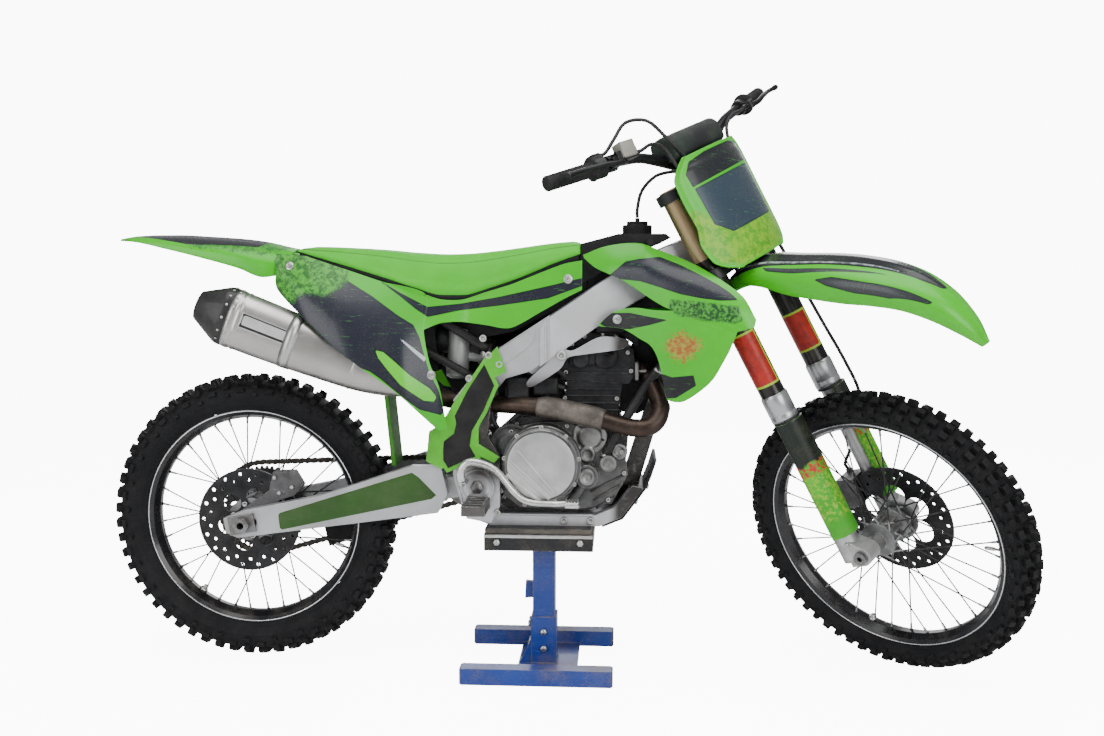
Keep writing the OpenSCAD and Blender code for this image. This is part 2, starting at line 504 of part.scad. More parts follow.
module swing_frame() bike() translate([pivot[0], 0, pivot[1]]) rotate([0, -swing_drop, 0]) children();
module swingarm() color("#b4b7ba") difference() {
  union() {
    swing_frame() both() xz(arm_in, arm_out) polygon([[-swing_len - 44, -14], [-swing_len - 44, 20], [-swing_len + 10, 31],
      [-360, 36], [-140, 70], [-74, 58], [-70, -6], [-100, -46], [-160, -44], [-swing_len + 10, -31], [-swing_len - 20, -30]]);
    bike() xz(-arm_in - 1, arm_in + 1) polygon([[-326, 384], [-326, 440], [-300, 452], [-226, 456], [-214, 430], [-226, 396]]);
    bike() both() {
      xz(40, 76) polygon([[-240, 402], [-240, 456], [-150, 466], [-135, 466], [-120, 460], [-113, 444], [-120, 428], [-150, 420]]);
      xz(40, arm_in + 1) polygon([[-232, 402], [-232, 456], [-208, 456], [-208, 405]]);
    }
  }
  bike() pin_y(pivot, -200, 200, 10 + run);
  swing_frame() for (x = [-6, 0, 6]) pin_y([-swing_len + 3 * x, 0], -200, 200, rear_axle_r + 1);
  swing_frame() xz(-200, 200) polygon([[-swing_len - 18, -rear_axle_r - 1], [-swing_len + 18, -rear_axle_r - 1],
    [-swing_len + 18, rear_axle_r + 1], [-swing_len - 18, rear_axle_r + 1]]);
}

module rear_axle() color("#8d9093") rear_wheel() difference() {
  union() {
    pin_y([0, 0], -arm_out - 24, arm_out + 24, rear_axle_r);
    pin_y([0, 0], rear_hub_l + 1, arm_in - gap, 18);
    pin_y([0, 0], -arm_in + gap, -rear_hub_r - 1, 18);
    both() rotate([0, -swing_drop, 0]) translate([-32, arm_out + gap, -21]) cube([60, 8, 42]);
    translate([0, -arm_out - 9, 0]) rotate([90, 0, 0]) cylinder(h = 13, r = 19, $fn = 6);
    pin_y([0, 0], arm_out + 8, arm_out + 20, 18);
  }
  pin_y([0, 0], -200, 200, 8);
}

// ring of the closed chain path in the side view: tangent runs round two sprockets
function chain_loop(r1, r2, n) = let (d = [drive[0] - rear_ax[0], drive[1] - rear_ax[1]], l = norm(d),
  th = atan2(d[1], d[0]), be = acos((r1 - r2) / l))
  concat([for (k = [0:n]) let (a = th + be + (360 - 2 * be) * k / n) [rear_ax[0] + r1 * cos(a), rear_ax[1] + r1 * sin(a)]],
    [for (k = [0:8]) let (a = th - be + 2 * be * k / 8) [drive[0] + r2 * cos(a), drive[1] + r2 * sin(a)]]);
module chain() color("#4b4a45") bike() xz(chain_y - chain_w / 2, chain_y + chain_w / 2) difference() {
  polygon(chain_loop(sprocket_r + 15, drive_r + 14.5, 40));
  polygon(chain_loop(sprocket_r + 2.5, drive_r + 1.2, 40));
}
module chain_guide() color("#141516") swing_frame() difference() {
  xz(chain_y - 12, arm_in - gap) polygon([[-swing_len + 140, -116], [-swing_len + 210, -107], [-swing_len + 214, -20], [-swing_len + 135, -20]]);
  xz(chain_y - 9, chain_y + 9) polygon([[-swing_len + 120, -110], [-swing_len + 230, -98], [-swing_len + 230, -74], [-swing_len + 120, -86]]);
}

shock_top = [-84, 0, 722];
shock_low = [-192, 0, 432];
module shock_absorber() color("#b9bcbe") bike() difference() {
  union() {
    bar(shock_top, shock_low, 13);
    pin_y([shock_top[0], shock_top[2]], -26, 26, 24);
    pin_y([-192, 432], -18, 18, 16);
    bar(shock_top + (shock_low - shock_top) * 0.08, shock_top + (shock_low - shock_top) * 0.42, 27);
    for (k = [0:5]) bar(shock_top + (shock_low - shock_top) * (0.34 + 0.075 * k),
      shock_top + (shock_low - shock_top) * (0.375 + 0.075 * k), 33);
    bar([-190, -28, 682], [-182, -28, 798], 26);
    bar([-185, -28, 736], [-100, -14, 724], 12);
  }
  pin_y([shock_top[0], shock_top[2]], -80, 80, 14 + run);
  pin_y([-192, 432], -80, 80, 8 + run);
}
module shock_linkage() color("#7f8285") bike() difference() {
  union() {
    both() xz(19, 30) polygon([[-208, 442], [-180, 448], [-104, 384], [-112, 354], [-140, 358], [-206, 398]]);
    pin_y([-192, 432], -30, 30, 8);
    pin_y([-196, 404], -30, 30, 7);
  }
  pin_y([-122, 366], -80, 80, 11 + run);
}

module rear_caliper() color("#6b6d70") rear_wheel() difference() {
  union() {
    xz(rear_disc_y - 20, rear_disc_y + 13) polygon([[52, 66], [64, 116], [112, 118], [132, 84], [112, 62], [80, 52]]);
    xz(-arm_in + gap, -rear_hub_r - 2) polygon([[-24, -18], [-24, 18], [60, 78], [92, 70], [26, -18]]);
  }
  pin_y([0, 0], -200, 0, 18 + run);
  pin_y([0, 0], rear_disc_y - disc_t / 2 - 2, rear_disc_y + disc_t / 2 + 2, rear_disc_r + 5);
}

// ---------- foot pieces ----------

module footpegs() color("#77797b") bike() both() {
  xz(frame_half + gap, frame_half + 18) polygon([[-156, 396], [-156, 424], [-106, 420], [-106, 396]]);
  difference() {
    translate([-158, frame_half + 17, 400]) cube([52, 92, 22]);
    for (k = [0:2]) translate([-150, frame_half + 34 + 26 * k, 390]) cube([36, 14, 50]);
  }
}
module foot_controls() color("#c3c5c6") bike() {
  tube(smooth([[-166, -141, 462], [-166, -145, 490], [-142, -146, 508], [-92, -147, 492], [-52, -147, 446],
    [-20, -148, 421], [36, -149, 416], [72, -150, 418]], 3), 6.5, [0, 1, 0], 10);
  translate([66, -176, 412]) cube([30, 36, 12]);
  bar([-166, -frame_half - gap, 460], [-166, -146, 460], 9);
  tube(smooth([[6, 121, 410], [60, 126, 404], [110, 130, 408], [150, 134, 424]], 3), 6, [0, 1, 0], 10);
  bar([150, 130, 425], [150, 166, 425], 8);
  bar([6, 50 + gap, 410], [6, 128, 410], 7);
}

// ---------- fork and bars, in the steering frame ----------

module fork_outer_tubes() color("#2a2823") steer() both() difference() {
  union() {
    translate([leg_lead, leg_y, fork_low]) cylinder(h = fork_top - fork_low, r = fork_r);
    translate([leg_lead, leg_y, fork_low]) cylinder(h = 60, r = fork_r + 3);
  }
  translate([leg_lead, leg_y, fork_low - 1]) cylinder(h = 241, r = slider_r);
}
module fork_sliders() color("#a8aaac") steer() both() difference() {
  union() {
    translate([leg_lead, leg_y, 20]) cylinder(h = fork_low + 190, r = slider_r - run);
    translate([leg_lead, leg_y, -8]) cylinder(h = 62, r = 27);
    pin_y([axle_lead, 0], lug_y0, lug_y1, 22);
    xz(lug_y0, lug_y1) polygon([[leg_lead, -20], [axle_lead, -21], [axle_lead + 12, 18], [leg_lead, 54]]);
  }
  pin_y([axle_lead, 0], -200, 200, front_axle_r + run);
}
module fork_guards() color("#3fae2a") steer() both() difference() {
  translate([leg_lead, leg_y, 56]) cylinder(h = fork_low - 60, r = slider_r + 13);
  translate([leg_lead, leg_y, 50]) cylinder(h = fork_low, r = slider_r + gap);
  translate([leg_lead, leg_y, 74]) cylinder(h = fork_low, r = slider_r + 9);
  translate([leg_lead - 80, leg_y - 60, 50]) cube([74, 120, fork_low]);
  translate([leg_lead - 80, leg_y - 60, 50]) cube([160, 36, fork_low]);
}

module clamp_plate(z, back) translate([0, 0, z]) linear_extrude(clamp_t) difference() {
  union() {
    circle(r = stem_r + 12);
    for (s = [-1, 1]) translate([leg_lead, s * leg_y]) circle(r = fork_r + 9);
    polygon([[-back, -24], [leg_lead - 26, -leg_y], [leg_lead + 26, -leg_y], [leg_lead + 28, 0],
      [leg_lead + 26, leg_y], [leg_lead - 26, leg_y], [-back, 24]]);
  }
  for (s = [-1, 1]) translate([leg_lead, s * leg_y]) circle(r = fork_r + run);
}
module triple_clamps() color("#1d1e20") steer() {
  difference() {
    union() {
      clamp_plate(head_low - 2 - clamp_t, 18);
      clamp_plate(head_top + 2, 18);
      translate([0, 0, head_low - 20]) cylinder(h = head_top - head_low + 40, r = stem_r - run);
      translate([0, 0, head_top + clamp_t]) cylinder(h = 12, r = 17, $fn = 6);
      for (s = [-1, 1]) {
        translate([bar_c[0] - 16, s * 42 - 12, head_top + clamp_t]) cube([32, 24, 66]);
        bar([leg_lead + 20, s * 30, head_top + 14], [112 - 6.6, s * 30, head_top + 14], 6);
      }
      translate([leg_lead + 20, -20, head_low - 20]) cube([112 - 5.6 - leg_lead - 20, 40, 12]);
      for (s = [-1, 1]) bar([40, s * 26, head_low - 20], [40, s * 26, 683], 6);
    }
    rotate([90, 0, 0]) translate([bar_c[0], bar_c[2], -90]) cylinder(h = 180, r = bar_mid_r + run);
  }
}

half_bar = concat([bar_c, [48, 68, 958]], [for (t = [0.2, 0.4, 0.6, 0.8, 1]) cr([48, 0, 958], [48, 68, 958], [46, 165, 1000], bar_root, t)],
  [for (t = [0.5, 1]) cr([48, 68, 958], [46, 165, 1000], bar_root, bar_root + bar_dir * bar_run, t)],
  [bar_root + bar_dir * bar_run]);
function bar_line() = concat([for (i = [len(half_bar) - 1:-1:1]) flip(half_bar)[i]], half_bar);
function bar_radii(extra) = concat([for (i = [len(half_bar) - 1:-1:1]) (i > 4 ? bar_end_r : i > 2 ? (bar_mid_r + bar_end_r) / 2 : bar_mid_r) + extra],
  [for (i = [0:len(half_bar) - 1]) (i > 4 ? bar_end_r : i > 2 ? (bar_mid_r + bar_end_r) / 2 : bar_mid_r) + extra]);
module bar_end(side) mirror([0, side < 0 ? 1 : 0, 0]) translate(bar_root)
  rotate([0, acos(bar_dir[2] / norm(bar_dir)), atan2(bar_dir[1], bar_dir[0])]) rotate([0, 0, 180]) children();

module handlebar() color("#1c1d1f") steer() {
  difference() {
    tube(bar_line(), bar_radii(0), [0, 0, 1], 16);
    for (s = [-1, 1]) bar_end(s) translate([0, 0, -4]) cylinder(h = 400, r = 30);
    cube([400, 120, 4000], center = true);
  }
  rotate([90, 0, 0]) translate([bar_c[0], bar_c[2], -60.5]) cylinder(h = 121, r = bar_mid_r);
  for (s = [-1, 1]) bar_end(s) translate([0, 0, -4.5]) cylinder(h = bar_run + 4.5, r = bar_end_r);
}
module bar_pad() color("#26302a") steer() difference() {
  rotate([90, 0, 0]) translate([bar_c[0] + 6, bar_c[2] + 36, -94]) linear_extrude(188)
    polygon([[-34, -20], [-30, 14], [-16, 24], [16, 24], [32, 8], [34, -24], [24, -34], [-22, -34]]);
  tube(bar_line(), bar_radii(gap + 1), [0, 0, 1], 16);
  rotate([90, 0, 0]) translate([bar_c[0], bar_c[2], -70]) cylinder(h = 140, r = bar_mid_r + gap);
  for (s = [-1, 1]) translate([bar_c[0] - 16 - gap, s * 42 - 12 - gap, 900]) cube([32 + 2 * gap, 24 + 2 * gap, 72 + gap]);
}
module grips() color("#0e0f10") steer() for (s = [-1, 1]) bar_end(s) difference() {
  union() {
    translate([0, 0, 62]) cylinder(h = bar_run - 58, r = grip_r);
    translate([0, 0, 62]) cylinder(h = 5, r = grip_r + 9);
  }
  translate([0, 0, 50]) cylinder(h = bar_run - 50 + gap, r = bar_end_r + run);
}
// reach of the levers from the bar: towards the front, then outward
module lever(reach) {
  tube(smooth([[-8, 34, 0], [-10, 44, 26], [-6, 46, 60], [-4, 44, 110], [-6, 50, 158]], 3), 5, [1, 0, 0], 8);
  bar([-16, 32, 2], [4, 32, 2], 9);
}
module perch(z) difference() {
  union() {
    translate([0, 0, z]) cylinder(h = 18, r = bar_end_r + 7);
    translate([-14, 8, z - 2]) cube([20, 26, 22]);
  }
  translate([0, 0, z - 40]) cylinder(h = 90, r = bar_end_r + run);
}
module hand_controls() color("#2c2d2f") steer() {
  bar_end(-1) {
    difference() {
      union() {
        translate([0, 0, 36]) cylinder(h = 25, r = 24);
        translate([10, -11, 38]) cube([18, 22, 20]);
      }
      translate([0, 0, 30]) cylinder(h = 40, r = bar_end_r + run);
    }
    perch(6);
    translate([0, 0, 2]) lever(0);
    translate([-8, 16, -34]) cube([22, 24, 52]);
    translate([-4, 14, -30]) cube([34, 30, 36]);
  }
  bar_end(1) {
    perch(22);
    translate([0, 0, 20]) lever(0);
    bar([-4, 24, 24], [-4, 26, -10], 6);
  }
}
module control_cables() color("#0c0d0e") steer() {
  tube(smooth([[35, -261.7, 1039.6], [39, -243.5, 1038], [50, -212, 1056], [62, -168, 1078], [80, -124, 1062],
    [91, -107, 1016], [93, -87, 975], [93, -71, 940], [92, -54, 905], [84, -32, 850], [66, -22, 822]], 3), 4, [1, 0, 0], 8);
  tube(smooth([[69.5, 225.9, 1007], [74, 205, 1004], [80, 160, 1002], [78, 126, 985], [76, 108, 950], [78, 90, 900],
    [78, 60, 860], [66, 24, 830]], 3), 4, [1, 0, 0], 8);
}
module brake_hose() color("#121314") steer() tube(concat(smooth([[76, -201.5, 1011.3], [80, -184, 1009], [84, -150, 1012],
  [84, -118, 992], [82, -104, 940], [82, -92, 860], [82, -50, 792], [80, 20, 768], [78, 80, 748], [74, 108, 700], [74, 114, 600],
  [74, 124, 480], [72, 136, 380], [60, 148, 290], [20, 150, 210], [-18, 128, 172], [-30, 98, 150]], 3), [[-30, 98, 134.4]]),
  4, [1, 0, 0.01], 8);

plate_st = [[690, 84], [708, 118], [730, 136], [770, 142], [810, 134], [870, 136], [915, 134], [940, 118], [958, 96]];
function face_pt(y, s, off) = [118 - 46 * pow(y / 140, 2) - off, y, s];
module number_plate() color("#55c92c") steer() skin(
  [for (st = plate_st) [for (k = [-6:6]) face_pt(-st[1] * k / 6, st[0] + (abs(k) == 6 ? 0 : 0), 0)]],
  [for (st = plate_st) [for (k = [-6:6]) face_pt(-st[1] * k / 6, st[0], cover_t)]]);

// stations of the front fender: ahead, along, half width, drop, slope of the path
nose_st = [[-18, 640, 46, 40, 70], [8, 676, 54, 34, 30], [60, 688, 58, 40, -2], [120, 682, 64, 52, -18], [188, 656, 70, 66, -22],
  [260, 628, 74, 74, -24], [320, 600, 74, 76, -29], [380, 564, 70, 70, -36], [432, 518, 62, 60, -48], [470, 462, 50, 48, -60],
  [490, 400, 34, 30, -74], [494, 348, 14, 10, -82]];
function hood(s, t) = [for (k = [-6:6]) let (a = 15 * k, e = s[4], drop = t + (s[3]) * (1 - pow(max(cos(a), 0), 0.6)))
  [s[0] + drop * sin(e), -(s[2] - t) * sin(a), s[1] - drop * cos(e)]];
module front_fender() color("#55c92c") steer() skin([for (s = nose_st) hood(s, cover_t)], [for (s = nose_st) hood(s, 0)]);

module front_caliper() color("#5f6163") steer() difference() {
  union() {
    bar([-30, 98, 110], [-30, 98, 134], 7);
  xz(front_disc_y - 17, leg_y + 10) polygon([[leg_lead - slider_r - gap, 60], [leg_lead - slider_r - gap, 122], [-40, 128], [-62, 104], [-56, 66], [-30, 50]]);
  }
  translate([axle_lead, 0, 0]) pin_y([0, 0], front_disc_y - disc_t / 2 - 2, front_disc_y + disc_t / 2 + 2, front_disc_r + 5);
  translate([leg_lead, leg_y, -20]) cylinder(h = 400, r = slider_r + gap);
  translate([leg_lead, leg_y, -20]) cylinder(h = 76, r = 27 + gap);
}
module front_axle() color("#8d9093") steer() difference() {
  union() {
    pin_y([axle_lead, 0], -lug_y1 - 8, lug_y1 + 6, front_axle_r);
    pin_y([axle_lead, 0], -lug_y1 - 10, -lug_y1 - gap, 15);
  }
  pin_y([axle_lead, 0], -200, 200, 6);
}

stand_base();
stand_top();
main_frame();
frame_guards();
subframe();
engine_cases();
engine_covers();
engine_top_end();
exhaust_header();
muffler();
muffler_end_cap();
radiators();
fuel_tank();
fuel_cap();
vent_hose();
shrouds();
seat();
side_panels();
rear_fender();
airbox();
mud_flap();
swingarm();
rear_axle();
chain();
chain_guide();
shock_absorber();
shock_linkage();
footpegs();
foot_controls();
rear_caliper();
skid_plate();
fork_outer_tubes();
fork_sliders();
fork_guards();
triple_clamps();
handlebar();
bar_pad();
grips();
hand_controls();
control_cables();
brake_hose();
number_plate();
front_fender();
front_caliper();
front_axle();
front_tyre();
front_rim();
front_spokes();
front_hub();
front_disc();
rear_tyre();
rear_rim();
rear_spokes();
rear_hub();
rear_disc();
rear_sprocket();
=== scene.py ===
import math
import bmesh
import bpy
import numpy as np
from mathutils import Matrix, Vector


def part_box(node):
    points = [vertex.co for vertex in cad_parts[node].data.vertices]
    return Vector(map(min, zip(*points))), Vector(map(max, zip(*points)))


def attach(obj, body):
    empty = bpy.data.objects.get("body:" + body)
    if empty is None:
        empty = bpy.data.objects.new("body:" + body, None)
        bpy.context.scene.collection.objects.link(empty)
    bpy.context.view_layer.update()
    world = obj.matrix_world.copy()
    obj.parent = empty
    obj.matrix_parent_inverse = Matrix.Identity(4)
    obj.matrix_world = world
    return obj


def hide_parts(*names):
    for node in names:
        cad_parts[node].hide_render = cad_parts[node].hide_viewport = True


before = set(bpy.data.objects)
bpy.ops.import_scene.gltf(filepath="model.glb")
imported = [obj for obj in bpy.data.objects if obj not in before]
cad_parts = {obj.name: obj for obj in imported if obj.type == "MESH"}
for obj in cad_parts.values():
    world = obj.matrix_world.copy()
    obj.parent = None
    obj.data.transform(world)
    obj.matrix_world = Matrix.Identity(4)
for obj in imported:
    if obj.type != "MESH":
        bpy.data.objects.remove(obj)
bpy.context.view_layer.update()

# ---------- Studio ----------
# A pale paper sweep under the stand, one lens square to the right side, and four large
# soft lamps: overhead, ahead, behind and on the left. The paper glows for the lens only.
cam_data = bpy.data.cameras.new("studio_camera")
cam_data.lens = 37.49
cam_data.sensor_width = 36
cam_data.clip_end = 60
camera = bpy.data.objects.new("studio_camera", cam_data)
bpy.context.scene.collection.objects.link(camera)
cam_ahead = Vector((-0.05943, 0.99317, -0.10038))
cam_up = Vector((-0.00648, 0.10018, 0.99495))
cam_side = cam_ahead.cross(cam_up).normalized()
camera.matrix_world = Matrix.Translation((0.1858, -2.6461, 0.9712)) @ Matrix(
    (cam_side, cam_side.cross(cam_ahead), -cam_ahead)).transposed().to_4x4()
bpy.context.scene.camera = camera


def lamp(name, where, towards, size, power):
    data = bpy.data.lights.new(name, "AREA")
    data.shape = "RECTANGLE"
    data.size, data.size_y = size
    data.energy = power
    made = bpy.data.objects.new(name, data)
    made.matrix_world = Matrix.Translation(where) @ (Vector(towards)
        - Vector(where)).to_track_quat("-Z", "Y").to_matrix().to_4x4()
    bpy.context.scene.collection.objects.link(made)
    return made


lamp("lamp_over", (0.2, -0.9, 3.4), (0.0, 0.0, 0.5), (3.6, 2.4), 118)
lamp("lamp_front_right", (2.4, -3.4, 1.9), (0.1, 0, 0.6), (2.2, 2.2), 84)
lamp("lamp_rear_right", (-2.8, -3.0, 1.6), (-0.1, 0, 0.6), (2.2, 2.2), 62)
lamp("lamp_left", (0.3, 3.2, 2.2), (0, 0, 0.6), (3.0, 2.0), 60)

world = bpy.data.worlds.new("studio_world")
world.use_nodes = True
world.node_tree.nodes["Background"].inputs["Color"].default_value = (0.94, 0.96, 1.0, 1)
world.node_tree.nodes["Background"].inputs["Strength"].default_value = 0.32
bpy.context.scene.world = world


def mm(x, y, z):
    """A point given in millimetres."""
    return Vector((x, y, z)) / 1000


def new_piece(name, verts, faces, smooth=True):
    mesh = bpy.data.meshes.new(name)
    mesh.from_pydata([tuple(v) for v in verts], [], [tuple(f) for f in faces])
    mesh.validate()
    if smooth:
        mesh.shade_smooth()
    made = bpy.data.objects.new(name, mesh)
    bpy.context.scene.collection.objects.link(made)
    return made


def wire(tree, kind, props=None, **ins):
    """Adds one shader node; i0, i1 set an input by number and other names by name."""
    made = tree.nodes.new(kind)
    for key, value in (props or {}).items():
        setattr(made, key, value)
    for key, value in ins.items():
        socket = made.inputs[int(key[1:])] if key[0] == "i" and key[1:].isdigit() else made.inputs[
            key.replace("_", " ")]
        if isinstance(value, bpy.types.NodeSocket):
            tree.links.new(value, socket)
        elif value is not None:
            socket.default_value = value
    return made


def calc(tree, op, a, b=0.0, clamp=False):
    return wire(tree, "ShaderNodeMath", {"operation": op, "use_clamp": clamp}, i0=a,
        i1=b).outputs[0]


def span(tree, value, low, high, to_low=0.0, to_high=1.0):
    """Smooth step of a value between two limits."""
    return wire(tree, "ShaderNodeMapRange", {"interpolation_type": "SMOOTHSTEP"}, i0=value, i1=low,
        i2=high,
                i3=to_low, i4=to_high).outputs[0]


def mix(tree, share, a, b):
    made = tree.nodes.new("ShaderNodeMix")
    made.data_type = "RGBA"
    for socket, value in ((made.inputs[0], share), (made.inputs[6], a), (made.inputs[7], b)):
        if isinstance(value, bpy.types.NodeSocket):
            tree.links.new(value, socket)
        else:
            socket.default_value = (*value, 1) if isinstance(value,
                tuple) and len(value) == 3 else value
    return made.outputs[2]


def mixf(tree, share, a, b):
    made = tree.nodes.new("ShaderNodeMix")
    made.data_type = "FLOAT"
    for socket, value in ((made.inputs[0], share), (made.inputs[2], a), (made.inputs[3], b)):
        if isinstance(value, bpy.types.NodeSocket):
            tree.links.new(value, socket)
        else:
            socket.default_value = value
    return made.outputs[0]


def cloud(tree, scale, detail=3.0, rough=0.5, stretch=(1, 1, 1), turn=(0, 0, 0)):
    """Noise on the object's own coordinates."""
    at = wire(tree, "ShaderNodeTexCoord").outputs["Object"]
    if stretch != (1, 1, 1) or turn != (0, 0, 0):
        at = wire(tree, "ShaderNodeMapping", None, Vector=at, Scale=stretch,
            Rotation=turn).outputs[0]
    return wire(tree, "ShaderNodeTexNoise", None, Vector=at, Scale=scale, Detail=detail,
        Roughness=rough).outputs["Fac"]


def new_group(name, ins, outs):
    tree = bpy.data.node_groups.new(name, "ShaderNodeTree")
    for label, default in ins:
        kind = "NodeSocketColor" if isinstance(default, tuple) else "NodeSocketFloat"
        tree.interface.new_socket(label, in_out="INPUT", socket_type=kind).default_value = default
    for label, kind in outs:
        tree.interface.new_socket(label, in_out="OUTPUT", socket_type=kind)
    return tree, tree.nodes.new("NodeGroupInput"), tree.nodes.new("NodeGroupOutput")


# the floor: pale, faintly mottled paper that turns up into a wall far behind
floor_w, floor_front, floor_back, floor_rise, bend_r = 14.0, -9.0, 7.0, 5.0, 2.0
bend_angles = [a * math.pi / 24 for a in range(1, 13)]
sweep = [(floor_front, 0.0), (floor_back - bend_r, 0.0)]
sweep += [(floor_back - bend_r + bend_r * math.sin(a), bend_r - bend_r * math.cos(a))
    for a in bend_angles]
sweep += [(floor_back, floor_rise)]
floor = new_piece("studio_floor", [(s * floor_w / 2, y, z - 0.0005) for y,
    z in sweep for s in (-1, 1)],
                  [(2 * i, 2 * i + 1, 2 * i + 3, 2 * i + 2) for i in range(len(sweep) - 1)])
paper = bpy.data.materials.new("studio_paper")
paper.use_nodes = True
t = paper.node_tree
t.nodes["Principled BSDF"].inputs["Roughness"].default_value = 0.75
t.links.new(mix(t, cloud(t, 3.0, 4), (0.90, 0.905, 0.91), (0.94, 0.945, 0.95)),
    t.nodes["Principled BSDF"].inputs["Base Color"])
paper_glow = 10.0
glow = calc(t, "MULTIPLY", t.nodes.new("ShaderNodeLightPath").outputs["Is Camera Ray"], paper_glow)
t.links.new(glow, t.nodes["Principled BSDF"].inputs["Emission Strength"])
t.nodes["Principled BSDF"].inputs["Emission Color"].default_value = (1, 1, 1, 1)
floor.data.materials.append(paper)

# ---------- Stand ----------
# A lift stand of square steel tube: two feet, a base plate, a telescoping post and a
# tray with a ribbed rubber mat. Welded, then sprayed blue; plastic caps close the feet.


def edge_group():
    """Mask of worn outer edges, from a rounded normal against the true one."""
    tree, gin, gout = new_group("edge_wear", [("Width", 0.002), ("Amount", 0.5), ("Break", 40.0)],
        [("Mask", "NodeSocketFloat")])
    soft = wire(tree, "ShaderNodeBevel", {"samples": 4}, Radius=gin.outputs["Width"]).outputs[0]
    true = wire(tree, "ShaderNodeNewGeometry").outputs["Normal"]
    same = wire(tree, "ShaderNodeVectorMath", {"operation": "DOT_PRODUCT"}, i0=soft,
        i1=true).outputs["Value"]
    bend = calc(tree, "SUBTRACT", 1.0, same)
    at = wire(tree, "ShaderNodeTexCoord").outputs["Object"]
    rough = wire(tree, "ShaderNodeTexNoise", None, Vector=at, Scale=gin.outputs["Break"],
        Detail=4.0).outputs["Fac"]
    lift = calc(tree, "MULTIPLY", calc(tree, "SUBTRACT", rough, 0.32), 3.0, True)
    edge = span(tree, bend, 0.01, 0.12)
    tree.links.new(calc(tree, "MULTIPLY", calc(tree, "MULTIPLY", edge, lift),
        gin.outputs["Amount"], True), gout.inputs["Mask"])
    return tree


def dust_group():
    """Mask of dry soil: patchy, and thicker on faces that look up and near the ground."""
    tree, gin, gout = new_group("dry_soil", [("Amount", 0.3), ("Scale", 14.0), ("Top", 0.9)],
        [("Mask", "NodeSocketFloat")])
    at = wire(tree, "ShaderNodeTexCoord").outputs["Object"]
    patch = wire(tree, "ShaderNodeTexNoise", None, Vector=at, Scale=gin.outputs["Scale"],
        Detail=6.0, Roughness=0.65).outputs["Fac"]
    fine = wire(tree, "ShaderNodeTexNoise", None, Vector=at, Scale=260.0, Detail=2.0).outputs["Fac"]
    height = wire(tree, "ShaderNodeSeparateXYZ", None, i0=at).outputs["Z"]
    low = wire(tree, "ShaderNodeMapRange", None, i0=height, i1=0.0, i2=gin.outputs["Top"], i3=1.0,
        i4=0.35).outputs[0]
    up = wire(tree, "ShaderNodeSeparateXYZ", None,
        i0=wire(tree, "ShaderNodeNewGeometry").outputs["Normal"]).outputs["Z"]
    lie = span(tree, up, -0.2, 1.0, 0.55, 1.2)
    grainy = span(tree, calc(tree, "ADD", patch,
        calc(tree, "MULTIPLY", calc(tree, "SUBTRACT", fine, 0.5), 0.35)), 0.42, 0.7)
    tree.links.new(calc(tree, "MULTIPLY", calc(tree, "MULTIPLY", grainy,
        calc(tree, "MULTIPLY", low, lie)), gin.outputs["Amount"], True), gout.inputs["Mask"])
    return tree


edge_wear = edge_group()
dry_soil = dust_group()


